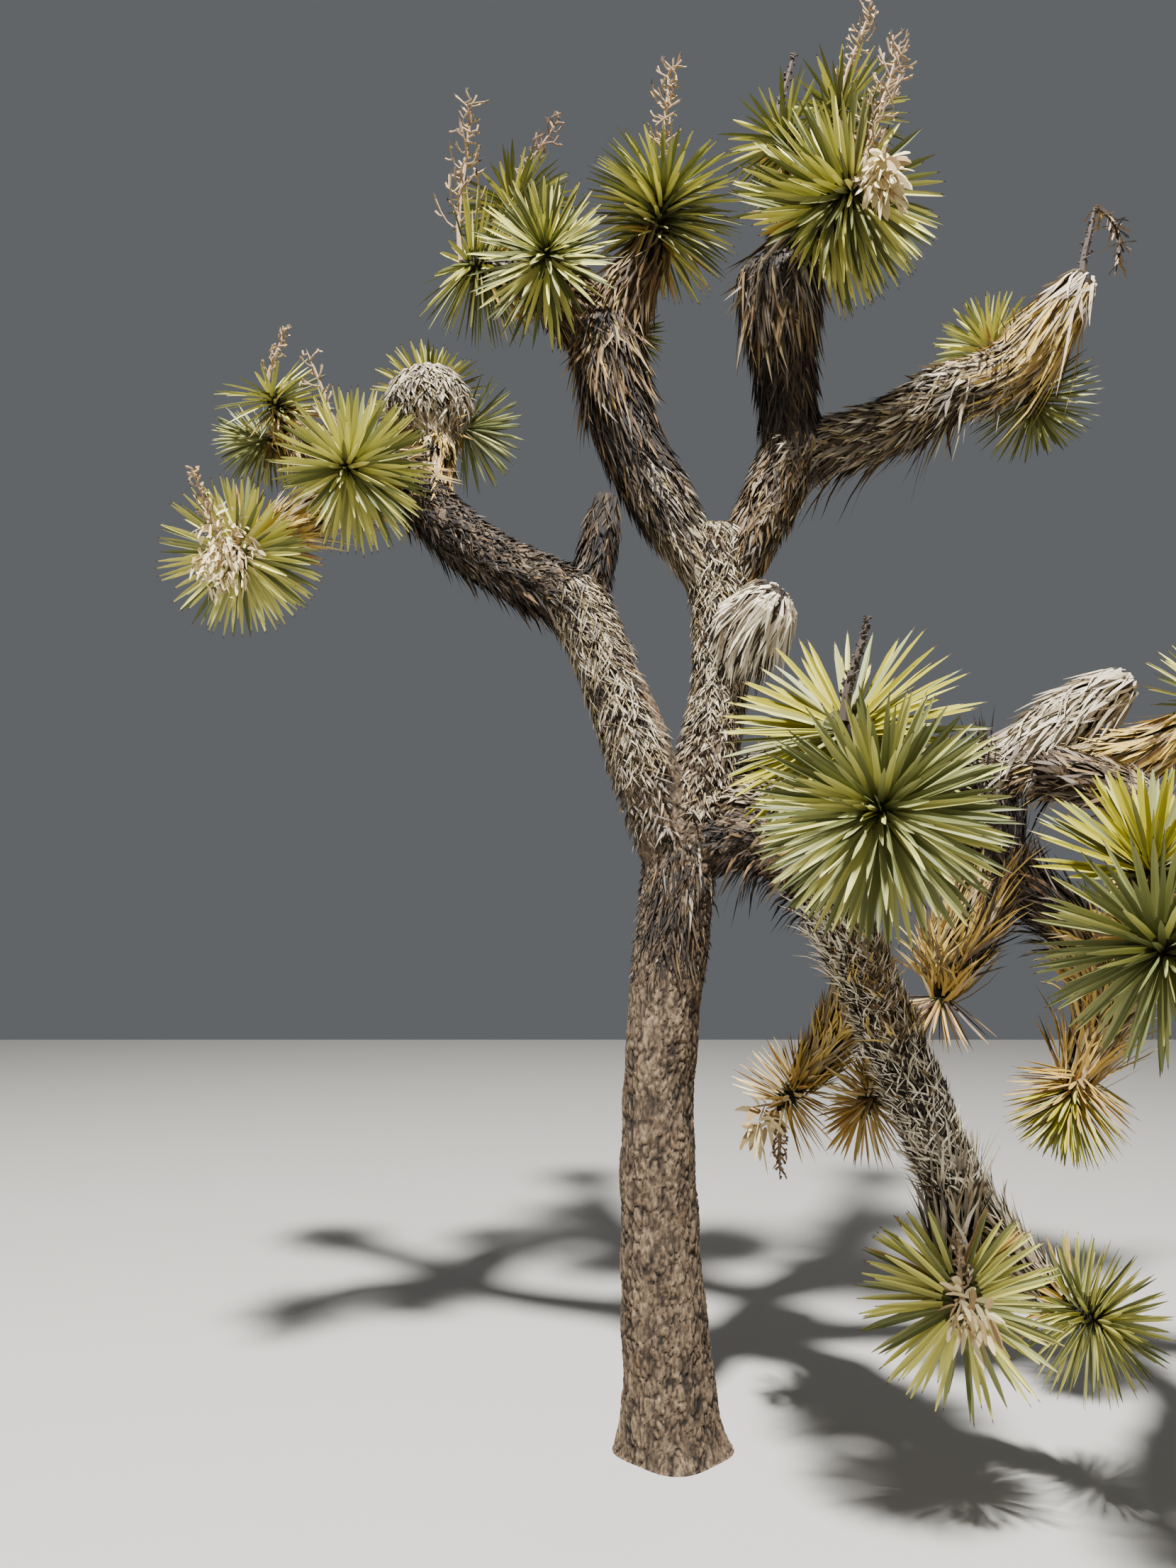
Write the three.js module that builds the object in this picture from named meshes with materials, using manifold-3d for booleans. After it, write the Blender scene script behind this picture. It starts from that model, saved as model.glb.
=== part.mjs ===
// A joshua tree, in millimetres, with +Z up. The origin is the centre of the flat cut under the trunk,
// at ground level. The tree is described as seen from -Y, with +X to the right and +Y to the rear.
import * as THREE from "three";
import { mergeVertices } from "three/addons/utils/BufferGeometryUtils.js";
import Module from "manifold-3d";

const wasm = await Module();
wasm.setup();

// Driving dimensions
const SEAM = 0.4; // how far a piece is cut back from the one it meets
const LIMB_SIDES = 8;
const LIMB_STEP = 150; // distance between the rings of a limb
const FOOT_DEPTH = 80; // how far the trunk is modelled below the ground before the flat cut
const FLARE = { width: 34, height: 110, lobes: 4, lobe_share: 0.35 };
const LEAF_ROWS = 7; // rings of leaf pairs round the growing tip
const BIG_REACH = 280; // a rosette that reaches further has 8 leaf pairs to a ring instead of 7
const LEAF_SPREAD = { young: 13, old: 130 }; // degrees between the rosette's axis and its leaves
const LEAF_JITTER = 5; // degrees
const LEAF_OPENING = 0.72; // below 1, leaves open early and few stand upright round the tip
const LEAF_LENGTHS = [0.72, 0.94, 1, 1, 0.95, 0.86]; // shares of the full length, from young to old
const LEAFY_LENGTH = 130; // length of stem that bears leaves, where a rosette doesn't state its own
const MOST_LEAFY = 0.7; // the most of a rosette's stem that bears leaves
const CORE_RADIUS_SHARE = 0.135;
const SKIRT_RADIUS = 66; // radius of the reflexed dead leaves under a rosette
const SPEAR_SHARE = 0.5; // the unopened leaves at the tip, as a share of the reach
const LEAF_CLEARANCE = 5;
const LEAF_ROOT_ROOM = 20; // further room that a leaf needs at its root
const LEAF_PROBES = [0.05, 0.15, 0.3, 0.45, 0.6, 0.75, 0.9, 1]; // shares of a leaf where its room is checked
const SHORTEST_LEAF = 0.55; // a leaf that has to be shorter than this share of its length is skipped
const STALK = { foot: 10, sides: 4, twigs: 6, twig_share: 0.15, twig_radius: 7, bare_share: 0.4 };
const GOLDEN_ANGLE = Math.PI * (3 - Math.sqrt(5));

const DOMED_GIRTH = [66, 56, 52, 54, 64, 122, 150, 118]; // a thin stem under a dome of dead leaves

// Limbs, from the trunk up. Each grows on a parent limb, a share of the way along it, bends through one
// point, reaches another, and has its radii from foot to tip, with the dead leaves that clothe it.
const LIMBS = {
  trunk: limb(null, 0, [-38, 0, 960], [52, 0, 1850], [138, 133, 121, 113, 118, 122]),
  left_bough: limb("trunk", 0.92, [-108, -30, 2150], [-300, -50, 2590], [112, 118, 118, 108, 96, 106]),
  left_stub: limb("left_bough", 0.93, [-222, -50, 2730], [-192, -50, 2905], [74, 64, 58, 40]),
  left_arm: limb("left_bough", 0.97, [-600, -20, 2735], [-880, 10, 3010], [104, 94, 90, 86]),
  left_riser: limb("left_arm", 0.78, [-765, 85, 3110], [-808, 130, 3370], DOMED_GIRTH),
  left_back_limb: limb("left_arm", 0.97, [-1090, 230, 3150], [-1290, 330, 3270], [76, 72, 66]),
  column: limb("trunk", 0.93, [172, 25, 2300], [176, 30, 2800], [118, 108, 90, 100, 108]),
  centre_limb: limb("column", 0.8, [-130, 5, 3170], [-197, -20, 3510], [60, 84, 102, 106, 116, 116]),
  centre_left_limb: limb("centre_limb", 0.94, [-330, 50, 3670], [-450, 110, 3800], [98, 92, 78]),
  centre_rear_limb: limb("centre_limb", 0.9, [-324, 360, 3752], [-455, 660, 4056], [82, 74, 68]),
  centre_right_limb: limb("centre_limb", 0.95, [-125, -30, 3620], [-72, -35, 3700], [94, 92, 84]),
  right_limb: limb("column", 0.8, [362, 5, 2960], [438, -25, 3120], [64, 86, 96, 98]),
  right_upper_limb: limb("right_limb", 0.93, [378, -110, 3350], [352, -205, 3600], [92, 92, 100, 124, 134]),
  right_back_limb: limb("right_upper_limb", 0.93, [455, -60, 3830], [540, 0, 4080], [84, 80, 70]),
  right_rear_limb: limb("right_upper_limb", 0.62, [462, 250, 3681], [637, 600, 4175], [80, 74, 68]),
  right_arm: limb("right_limb", 0.9, [722, 0, 3165], [985, 45, 3335], [90, 92, 94, 90]),
  broom_limb: limb("right_arm", 0.95, [1150, 20, 3375], [1385, -50, 3650], [84, 90, 98, 106, 84, 60]),
  mop_stub: limb("column", 0.62, [258, -78, 2475], [320, -150, 2535], [62, 110, 92]),
  low_bough: limb("trunk", 0.95, [270, -70, 1800], [470, -150, 1655], [100, 94, 94]),
  front_limb: limb("low_bough", 0.6, [385, -420, 1765], [408, -700, 1835], [84, 80, 76]),
  drooping_limb: limb("low_bough", 0.93, [612, -275, 1220], [742, -405, 830], [90, 86, 88, 80]),
  east_limb: limb("column", 0.16, [620, 40, 1985], [1225, -70, 2040], [98, 90, 88, 80]),
  dead_stub: limb("east_limb", 0.84, [1260, -80, 2190], [1410, -118, 2282], [70, 88, 66]),
  east_tip_limb: limb("east_limb", 0.96, [1400, -140, 2060], [1560, -200, 2120], [74, 72, 66]),
  shaded_limb: limb("east_limb", 0.76, [1010, -5, 1880], [1035, 20, 1690], [84, 92, 92]),
  shaded_left_limb: limb("shaded_limb", 0.9, [960, 40, 1560], [885, 75, 1420], [84, 96, 90]),
  shaded_right_limb: limb("shaded_limb", 0.88, [1265, 35, 1530], [1385, 70, 1285], [80, 78, 74]),
  near_limb: limb("east_limb", 0.94, [1310, -420, 1850], [1130, -740, 1565], [76, 74, 70]),
  rear_limb: limb("column", 0.12, [330, 480, 2060], [560, 800, 2170], [88, 80, 72]),
};

// Rosettes. Each grows on a limb, has its heart, the tip that its leaves open from, faces along a
// direction, and reaches so far from its heart. The last number is the length of stem that bears leaves.
const ROSETTES = {
  left_far: rosette("left_back_limb", 0.97, [-1413, 330, 3470], [-0.35, -0.45, 0.8], 232),
  left_behind: rosette("left_back_limb", 0.93, [-1490, 470, 3330], [-0.9, 0.3, 0.1], 215),
  left_front: rosette("left_arm", 0.97, [-1010, -180, 2948], [0.05, -0.82, -0.57], 288, 150),
  left_low: rosette("left_arm", 0.97, [-1345, -200, 2650], [0.0, -0.85, -0.52], 272, 160),
  left_top: rosette("left_riser", 0.72, [-830, 360, 3470], [-0.1, 0.5, 0.85], 235),
  left_inner: rosette("left_riser", 0.55, [-660, 290, 3290], [0.8, 0.55, 0.1], 245),
  centre_front: rosette("centre_left_limb", 0.75, [-390, -160, 3704], [-0.05, -0.97, 0.2], 290, 170),
  centre_left: rosette("centre_left_limb", 0.97, [-690, 90, 3810], [-0.85, -0.3, 0.2], 290),
  centre_top: rosette("centre_left_limb", 0.97, [-531, 300, 4190], [-0.1, 0.1, 1], 262),
  centre_right: rosette("centre_right_limb", 0.97, [7, -60, 4003], [0.1, -0.3, 0.95], 300, 230),
  centre_small: rosette("centre_limb", 0.9, [-100, 200, 3590], [0.75, 0.6, 0.1], 165),
  centre_rear: rosette("centre_rear_limb", 0.97, [-518, 920, 4262], [-0.2, 0.95, 0.1], 240),
  right_front: rosette("right_upper_limb", 0.97, [578, -420, 3738], [0.55, -0.74, -0.35], 340, 240),
  right_top: rosette("right_back_limb", 0.97, [623, 50, 4372], [0.06, 0.05, 1], 264),
  right_back: rosette("right_back_limb", 0.72, [393, 0, 4225], [-0.5, 0.2, 0.8], 255),
  right_rear: rosette("right_rear_limb", 0.97, [736, 840, 4403], [0.2, 0.95, 0.15], 228),
  arm_upper: rosette("broom_limb", 0.24, [1160, 230, 3585], [-0.15, 0.5, 0.8], 225),
  arm_lower: rosette("broom_limb", 0.5, [1290, 160, 3290], [0.4, 0.35, -0.82], 245),
  near_front: rosette("front_limb", 0.97, [417, -1000, 1789], [-0.45, -0.87, -0.05], 340, 190),
  near_back: rosette("front_limb", 0.8, [400, -745, 2045], [-0.48, -0.62, 0.62], 368),
  east_upper: rosette("near_limb", 0.97, [1052, -985, 1660], [-0.1, -0.75, 0.5], 318),
  east_lower: rosette("near_limb", 0.97, [985, -1165, 1455], [0.0, -0.85, -0.5], 285),
  east_tip: rosette("east_tip_limb", 0.97, [1705, -265, 2215], [0.7, -0.55, 0.38], 290),
  hanging_right: rosette("shaded_right_limb", 0.97, [1245, 95, 955], [-0.45, -0.12, -0.88], 235),
  withered_left: rosette("drooping_limb", 0.33, [322, -20, 975], [-0.7, 0.0, -0.7], 205),
  withered_inner: rosette("drooping_limb", 0.52, [545, -130, 985], [-0.55, 0.4, -0.6], 200),
  shaded_left: rosette("shaded_left_limb", 0.97, [855, 90, 1290], [-0.5, 0.2, -0.8], 215),
  low_front: rosette("drooping_limb", 0.97, [706, -560, 555], [-0.12, -0.95, -0.05], 292),
  low_right: rosette("drooping_limb", 0.88, [1095, -475, 498], [0.45, -0.75, -0.1], 230),
  rear_upper: rosette("rear_limb", 0.97, [690, 960, 2260], [0.25, 0.7, 0.65], 260),
  rear_lower: rosette("rear_limb", 0.85, [790, 800, 2010], [0.7, 0.4, -0.1], 245),
};

// Dried flower stalks. Each stands on the heart of a rosette, or a share of the way along a limb.
const FLOWER_STALKS = [
  { on: "left_far", top: [-1340, 300, 3684] },
  { on: "left_back_limb", at: 0.5, top: [-1240, 200, 3552] },
  { on: "left_low", top: [-1440, -330, 2900] },
  { on: "centre_left", top: [-660, 130, 4440] },
  { on: "centre_top", top: [-352, 330, 4530] },
  { on: "centre_right", top: [32, 0, 4480] },
  { on: "right_front", top: [735, -335, 4295] },
  { on: "right_top", top: [746, 30, 4738] },
  { on: "right_back", top: [470, 40, 4560] },
  { on: "broom_limb", at: 1, top: [1437, -60, 3911] },
  { on: "near_back", top: [471, -750, 2320] },
  { on: "withered_left", top: [325, -30, 790] },
  { on: "low_front", top: [715, -500, 740] },
];

const MATERIALS = {
  bark: new THREE.MeshStandardMaterial({ color: "#7d6c58", roughness: 0.95, metalness: 0 }),
  dead_leaf: new THREE.MeshStandardMaterial({ color: "#b3a283", roughness: 0.85, metalness: 0 }),
  foliage: new THREE.MeshStandardMaterial({ color: "#9aa64e", roughness: 0.6, metalness: 0 }),
  withered: new THREE.MeshStandardMaterial({ color: "#c9b06a", roughness: 0.75, metalness: 0 }),
};
const DRAPED_IN_DEAD_LEAVES = ["broom_limb", "mop_stub", "dead_stub", "left_riser"];

const WITHERED = ["withered_left", "withered_inner"];

function limb(on, at, via, to, girth) {
  return { on, at, via: vector(via), to: vector(to), girth };
}

function rosette(on, at, heart, faces, reach, leafy = LEAFY_LENGTH) {
  return { on, at, heart: vector(heart), axis: vector(faces).normalize(), reach, leafy };
}

function vector(list) {
  return new THREE.Vector3(...list);
}

// Seeded random numbers from 0 to 1, so that the tree is the same each time.
function seeded(seed) {
  let state = seed >>> 0;
  return () => {
    state = (state + 0x6d2b79f5) >>> 0;
    let mixed = Math.imul(state ^ (state >>> 15), 1 | state);
    mixed ^= mixed + Math.imul(mixed ^ (mixed >>> 7), 61 | mixed);
    return ((mixed ^ (mixed >>> 14)) >>> 0) / 4294967296;
  };
}

// A value read off a list that is spread evenly from the foot, 0, to the tip, 1.
function along(list, share) {
  const place = Math.min(Math.max(share, 0), 1) * (list.length - 1);
  const step = Math.min(Math.floor(place), list.length - 2);
  return THREE.MathUtils.lerp(list[step], list[step + 1], place - step);
}

// Points and directions along a curve, with axes that turn with it as little as they can.
function framesAlong(curve, shares) {
  const start = curve.getTangentAt(0);
  let normal = Math.abs(start.y) < 0.9 ? new THREE.Vector3(0, 1, 0) : new THREE.Vector3(1, 0, 0);
  return shares.map((share) => {
    const tangent = curve.getTangentAt(share);
    normal = normal.clone().projectOnPlane(tangent).normalize();
    const binormal = new THREE.Vector3().crossVectors(tangent, normal);
    return { point: curve.getPointAt(share), tangent, normal, binormal, share };
  });
}

function ringPoint({ point, normal, binormal }, radius, angle) {
  return point
    .clone()
    .addScaledVector(normal, radius * Math.cos(angle))
    .addScaledVector(binormal, radius * Math.sin(angle));
}

// A closed solid from rings that are each turned half a step from the last, a flat foot and a pointed
// tip. leafTip(row, centre) may give the point that a face is drawn out to, as a leaf.
function ringedSolid(rings, sides, apex, leafTip = () => null) {
  const points = rings.flat();
  const faces = [];
  for (let k = 1; k < sides - 1; k++) faces.push([0, k + 1, k]);
  for (let row = 0; row < rings.length - 1; row++) {
    const turn = row % 2;
    for (let k = 0; k < sides; k++) {
      const next = (k + 1) % sides;
      const low = [row * sides + k, row * sides + next];
      const high = [(row + 1) * sides + k, (row + 1) * sides + next];
      const pair = turn
        ? [[low[0], low[1], high[1]], [low[0], high[1], high[0]]]
        : [[low[0], low[1], high[0]], [low[1], high[1], high[0]]];
      for (const [half, face] of pair.entries()) {
        const centre = new THREE.Vector3();
        for (const corner of face) centre.addScaledVector(points[corner], 1 / 3);
        const tip = leafTip(row + (1 + half) / 3, centre);
        if (!tip) {
          faces.push(face);
          continue;
        }
        points.push(tip);
        const end = points.length - 1;
        face.forEach((corner, i) => faces.push([corner, face[(i + 1) % 3], end]));
      }
    }
  }
  points.push(apex);
  const last = (rings.length - 1) * sides;
  for (let k = 0; k < sides; k++) faces.push([last + k, last + ((k + 1) % sides), points.length - 1]);
  return new wasm.Manifold(
    new wasm.Mesh({
      numProp: 3,
      vertProperties: new Float32Array(points.flatMap((point) => point.toArray())),
      triVerts: new Uint32Array(faces.flat()),
    }),
  );
}

const radians = THREE.MathUtils.degToRad;
const halfTurn = (row, sides) => ((row % 2) * Math.PI) / sides;

// The solid of a limb, grown by an even skin where it is used to cut its neighbours.
function limbSolid({ curve, girth, flare }, grow = 0) {
  const steps = Math.max(3, Math.round(curve.getLength() / LIMB_STEP));
  const frames = framesAlong(curve, Array.from({ length: steps + 1 }, (_, i) => i / steps));
  frames[0].point.addScaledVector(frames[0].tangent, -grow);
  const rings = frames.map((frame, row) =>
    Array.from({ length: LIMB_SIDES }, (_, k) => {
      const angle = (2 * Math.PI * k) / LIMB_SIDES + halfTurn(row, LIMB_SIDES);
      let radius = along(girth, frame.share) + grow;
      if (flare) {
        const lobe = 1 + FLARE.lobe_share * Math.cos(FLARE.lobes * angle);
        radius += FLARE.width * lobe * Math.exp(-Math.max(frame.point.z, 0) / FLARE.height);
      }
      return ringPoint(frame, radius, angle);
    }),
  );
  const end = frames.at(-1);
  const apex = end.point.clone().addScaledVector(end.tangent, along(girth, 1) * 0.45 + grow);
  return ringedSolid(rings, LIMB_SIDES, apex);
}

// The biggest body of a solid, without the scraps that cutting leaves.
const biggest = (solid) => solid.decompose().sort((a, b) => b.volume() - a.volume())[0];

function near(a, b) {
  const [p, q] = [a.boundingBox(), b.boundingBox()];
  return [0, 1, 2].every((i) => p.min[i] < q.max[i] && q.min[i] < p.max[i]);
}

function cutBy(solid, cutters) {
  const close = cutters.filter((cutter) => near(solid, cutter));
  return biggest(close.reduce((left, cutter) => left.subtract(cutter), solid));
}

// Lengths of limb, stem or stalk that leaves have to keep clear of.
const obstacles = [];

function addObstacle(owner, from, to, radius) {
  obstacles.push({ owner, line: new THREE.Line3(from, to), radius });
}

function addCurveObstacles(owner, curve, radii, steps = 6) {
  for (let i = 0; i < steps; i++) {
    const [from, to] = [curve.getPointAt(i / steps), curve.getPointAt((i + 1) / steps)];
    addObstacle(owner, from, to, Math.max(along(radii, i / steps), along(radii, (i + 1) / steps)));
  }
}

function growLimbs() {
  const grown = [];
  for (const [name, limb] of Object.entries(LIMBS)) {
    const foot = limb.on ? LIMBS[limb.on].curve.getPointAt(limb.at) : new THREE.Vector3(0, 0, -FOOT_DEPTH);
    limb.curve = new THREE.CatmullRomCurve3([foot, limb.via, limb.to], false, "centripetal");
    limb.flare = name === "trunk";
    limb.solid = cutBy(limbSolid(limb), limb.flare ? [soilSolid()] : grown);
    grown.push(limbSolid(limb, SEAM));
    addCurveObstacles(name, limb.curve, limb.girth);
  }
  return grown;
}

// What the trunk is cut flat by, at ground level.
function soilSolid() {
  const box = new THREE.BoxGeometry(1000, 1000, 2 * FOOT_DEPTH);
  box.deleteAttribute("normal").deleteAttribute("uv");
  box.translate(0, 0, -FOOT_DEPTH);
  return geometrySolid(box);
}

function geometrySolid(geometry) {
  const merged = mergeVertices(geometry);
  return new wasm.Manifold(
    new wasm.Mesh({
      numProp: 3,
      vertProperties: merged.getAttribute("position").array,
      triVerts: new Uint32Array(merged.index.array),
    }),
  );
}

// A rosette's stem runs on from its limb and ends at its heart, where the leaves open.
function layRosettes() {
  for (const [name, rosette] of Object.entries(ROSETTES)) {
    const { on, at, heart, axis, reach } = rosette;
    const foot = LIMBS[on].curve.getPointAt(at);
    const bend = heart.clone().addScaledVector(axis, -0.5 * foot.distanceTo(heart));
    rosette.curve = new THREE.QuadraticBezierCurve3(foot, bend, heart);
    rosette.centre = heart.clone().addScaledVector(axis, -0.25 * reach);
    rosette.sides = reach > BIG_REACH ? 8 : 7;
    rosette.footRadius = Math.min(along(LIMBS[on].girth, at) * 0.85, SKIRT_RADIUS + 10);
    addCurveObstacles(name, rosette.curve, [SKIRT_RADIUS, SKIRT_RADIUS, CORE_RADIUS_SHARE * reach]);
  }
  for (const stalk of FLOWER_STALKS) {
    const { on, at, top } = stalk;
    const own = ROSETTES[on];
    const foot = own ? own.heart : LIMBS[on].curve.getPointAt(at);
    stalk.line = new THREE.LineCurve3(foot, vector(top));
    addObstacle(on, foot, vector(top), STALK.twig_share * 0.8 * stalk.line.getLength());
    addObstacle(on + " stalk", foot, vector(top), STALK.foot);
  }
}

// True where a leaf stays in its rosette's own space and clear of every limb, stem and stalk. A leaf is
// broad at its root and pointed at its tip, so it needs less room further out.
function leafIsClear(name, root, tip) {
  const own = ROSETTES[name];
  const room = (share) => LEAF_CLEARANCE + LEAF_ROOT_ROOM * (1 - share);
  for (const [other, neighbour] of Object.entries(ROSETTES)) {
    if (other === name) continue;
    const across = neighbour.centre.clone().sub(own.centre);
    const border = (across.length() * own.reach) / (own.reach + neighbour.reach);
    across.normalize();
    const reached = (point) => point.clone().sub(own.centre).dot(across);
    if (reached(tip) > border - room(1) || reached(root) > border - room(0)) return false;
  }
  if (tip.z < LEAF_CLEARANCE) return false;
  const probe = new THREE.Vector3();
  const nearest = new THREE.Vector3();
  return obstacles.every(({ owner, line, radius }) => {
    if (owner === name) return true;
    return LEAF_PROBES.every((share) => {
      probe.lerpVectors(root, tip, share);
      line.closestPointToPoint(probe, true, nearest);
      return nearest.distanceTo(probe) > radius + room(share);
    });
  });
}

// The rings of a rosette's stem, widest where it is clothed in dead leaves, then of its leafy core.
function stemRings({ curve, reach, leafy, footRadius, sides }, grow) {
  const length = curve.getLength();
  const coreShare = Math.min(leafy / length, MOST_LEAFY);
  const coreRadius = CORE_RADIUS_SHARE * reach;
  const steps = Math.max(1, Math.round((length * (1 - coreShare)) / LIMB_STEP));
  const shares = [];
  const radii = [];
  for (let i = 0; i < steps; i++) {
    shares.push((i / steps) * (1 - coreShare));
    radii.push(along([footRadius, SKIRT_RADIUS, coreRadius * 1.15], i / steps));
  }
  for (let row = 0; row <= LEAF_ROWS; row++) {
    const left = 1 - row / LEAF_ROWS;
    shares.push(1 - coreShare * Math.pow(left, 1.35));
    radii.push(coreRadius * (0.16 + 0.84 * Math.sin((Math.PI / 2) * Math.min(1, 1.7 * left))));
  }
  const frames = framesAlong(curve, shares);
  frames[0].point.addScaledVector(frames[0].tangent, -grow);
  const rings = frames.map((frame, row) =>
    Array.from({ length: sides }, (_, k) =>
      ringPoint(frame, radii[row] + grow, (2 * Math.PI * k) / sides + halfTurn(row, sides)),
    ),
  );
  return { frames, rings, steps };
}

// What the neighbours' stems are cut back by.
function stemCutter(rosette) {
  const { rings } = stemRings(rosette, 2 * SEAM);
  return ringedSolid(rings, rosette.sides, rosette.heart.clone().addScaledVector(rosette.axis, SKIRT_RADIUS));
}

function rosetteSolid(name, seed) {
  const rosette = ROSETTES[name];
  const { reach, axis, heart, sides } = rosette;
  const { frames, rings, steps } = stemRings(rosette, 0);
  const random = seeded(seed);
  const coreRadius = CORE_RADIUS_SHARE * reach;
  // A leaf opens wider the further it sits below the tip, and a young one is shorter.
  const leafTip = (row, root) => {
    const age = 1 - (row - steps) / LEAF_ROWS;
    if (age > 1) return null;
    const frame = frames[Math.min(Math.round(row), frames.length - 1)];
    const outward = root.clone().sub(frame.point).projectOnPlane(frame.tangent).normalize();
    const sideways = new THREE.Vector3().crossVectors(frame.tangent, outward);
    const jitter = () => radians(LEAF_JITTER * (2 * random() - 1));
    const opened = THREE.MathUtils.lerp(LEAF_SPREAD.young, LEAF_SPREAD.old, Math.pow(age, LEAF_OPENING));
    const opening = radians(opened) + jitter();
    const heading = frame.tangent
      .clone()
      .multiplyScalar(Math.cos(opening))
      .addScaledVector(outward, Math.sin(opening))
      .addScaledVector(sideways, Math.sin(jitter()))
      .normalize();
    const full = (reach - coreRadius) * along(LEAF_LENGTHS, age) * (0.93 + 0.07 * random());
    for (let share = 1; share >= SHORTEST_LEAF; share -= 0.15) {
      const tip = root.clone().addScaledVector(heading, full * share);
      if (leafIsClear(name, root, tip)) return tip;
    }
    return null;
  };
  const beyondHeart = (distance) => heart.clone().addScaledVector(axis, distance);
  const spear = beyondHeart(SPEAR_SHARE * reach);
  const apex = leafIsClear(name, heart, spear) ? spear : beyondHeart(coreRadius);
  return ringedSolid(rings, sides, apex, leafTip);
}

// A straight twig that tapers to a point.
function twigSolid(from, to, radius, sides) {
  const [frame] = framesAlong(new THREE.LineCurve3(from, to), [0]);
  const ring = Array.from({ length: sides }, (_, k) => ringPoint(frame, radius, (2 * Math.PI * k) / sides));
  return ringedSolid([ring], sides, to);
}

// The solid with its dried flower stalks fused on: each is a stem with twigs set by the golden angle.
function withStalks(name, solid, seed) {
  const random = seeded(seed);
  for (const { line } of FLOWER_STALKS.filter(({ on }) => on === name)) {
    solid = solid.add(twigSolid(line.v1, line.v2, STALK.foot, STALK.sides));
    for (let i = 0; i < STALK.twigs; i++) {
      const share = STALK.bare_share + ((1 - STALK.bare_share) * i) / STALK.twigs;
      const [frame] = framesAlong(line, [share]);
      const outward = ringPoint(frame, 1, i * GOLDEN_ANGLE).sub(frame.point);
      const heading = outward.addScaledVector(frame.tangent, 0.8).normalize();
      const length = STALK.twig_share * line.getLength() * (0.75 + 0.25 * random()) * (1.1 - 0.45 * share);
      const end = frame.point.clone().addScaledVector(heading, length);
      solid = solid.add(twigSolid(frame.point, end, STALK.twig_radius, 3));
    }
  }
  return solid;
}

// A named mesh at the foot of its piece, with its geometry counted from there.
function nodeMesh(name, solid, foot, material) {
  const { numProp, numVert, triVerts, vertProperties } = solid.getMesh();
  const position = new Float32Array(numVert * 3);
  for (let i = 0; i < numVert; i++) {
    position.set(vertProperties.subarray(i * numProp, i * numProp + 3), i * 3);
  }
  const geometry = new THREE.BufferGeometry();
  geometry.setAttribute("position", new THREE.BufferAttribute(position, 3));
  geometry.setIndex(new THREE.BufferAttribute(triVerts, 1));
  geometry.translate(-foot.x, -foot.y, -foot.z);
  geometry.computeVertexNormals();
  const mesh = new THREE.Mesh(geometry, material);
  mesh.name = name;
  mesh.position.copy(foot);
  return mesh;
}

const tree = new THREE.Group();
const limbCutters = growLimbs();
layRosettes();
for (const [index, [name, { solid, curve }]] of Object.entries(LIMBS).entries()) {
  const material = DRAPED_IN_DEAD_LEAVES.includes(name) ? MATERIALS.dead_leaf : MATERIALS.bark;
  tree.add(nodeMesh(name, withStalks(name, solid, index + 201), curve.getPointAt(0), material));
}
const stemCutters = [];
for (const [index, [name, { curve }]] of Object.entries(ROSETTES).entries()) {
  const whole = withStalks(name, rosetteSolid(name, index + 1), index + 101);
  const solid = cutBy(whole, [...limbCutters, ...stemCutters]);
  stemCutters.push(stemCutter(ROSETTES[name]));
  const material = WITHERED.includes(name) ? MATERIALS.withered : MATERIALS.foliage;
  tree.add(nodeMesh("rosette_" + name, solid, curve.getPointAt(0), material));
}

export default tree;
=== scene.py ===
"""The looks of a joshua tree, in metres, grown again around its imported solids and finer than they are.

+Z is up the trunk, +X to the right and +Y to the rear. Limbs and rosettes are listed in millimetres, as in
the part's source. Bark is one fused mesh, and the leaves, dead leaves and flower stalks are joined meshes.
"""

import math
from collections import namedtuple
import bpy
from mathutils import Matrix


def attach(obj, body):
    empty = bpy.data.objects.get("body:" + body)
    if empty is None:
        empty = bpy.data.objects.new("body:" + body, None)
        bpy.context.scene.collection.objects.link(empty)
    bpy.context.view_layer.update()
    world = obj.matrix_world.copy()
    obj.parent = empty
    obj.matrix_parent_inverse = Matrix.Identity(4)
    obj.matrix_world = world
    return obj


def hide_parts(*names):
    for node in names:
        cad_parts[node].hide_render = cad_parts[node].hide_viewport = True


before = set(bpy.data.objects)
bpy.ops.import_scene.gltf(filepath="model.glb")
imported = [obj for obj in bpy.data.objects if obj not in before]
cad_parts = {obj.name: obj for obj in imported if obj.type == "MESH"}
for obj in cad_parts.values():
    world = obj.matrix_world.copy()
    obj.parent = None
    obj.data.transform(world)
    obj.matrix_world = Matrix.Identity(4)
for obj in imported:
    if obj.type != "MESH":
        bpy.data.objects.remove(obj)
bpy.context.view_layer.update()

from types import SimpleNamespace

import bpy
import numpy as np
from mathutils import Vector, kdtree, noise

MM = 0.001
GOLDEN_ANGLE = math.pi * (3 - math.sqrt(5))
STATIONS = 161  # places along a limb or stem where its line is worked out
UP = np.array([0.0, 0.0, 1.0])

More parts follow.
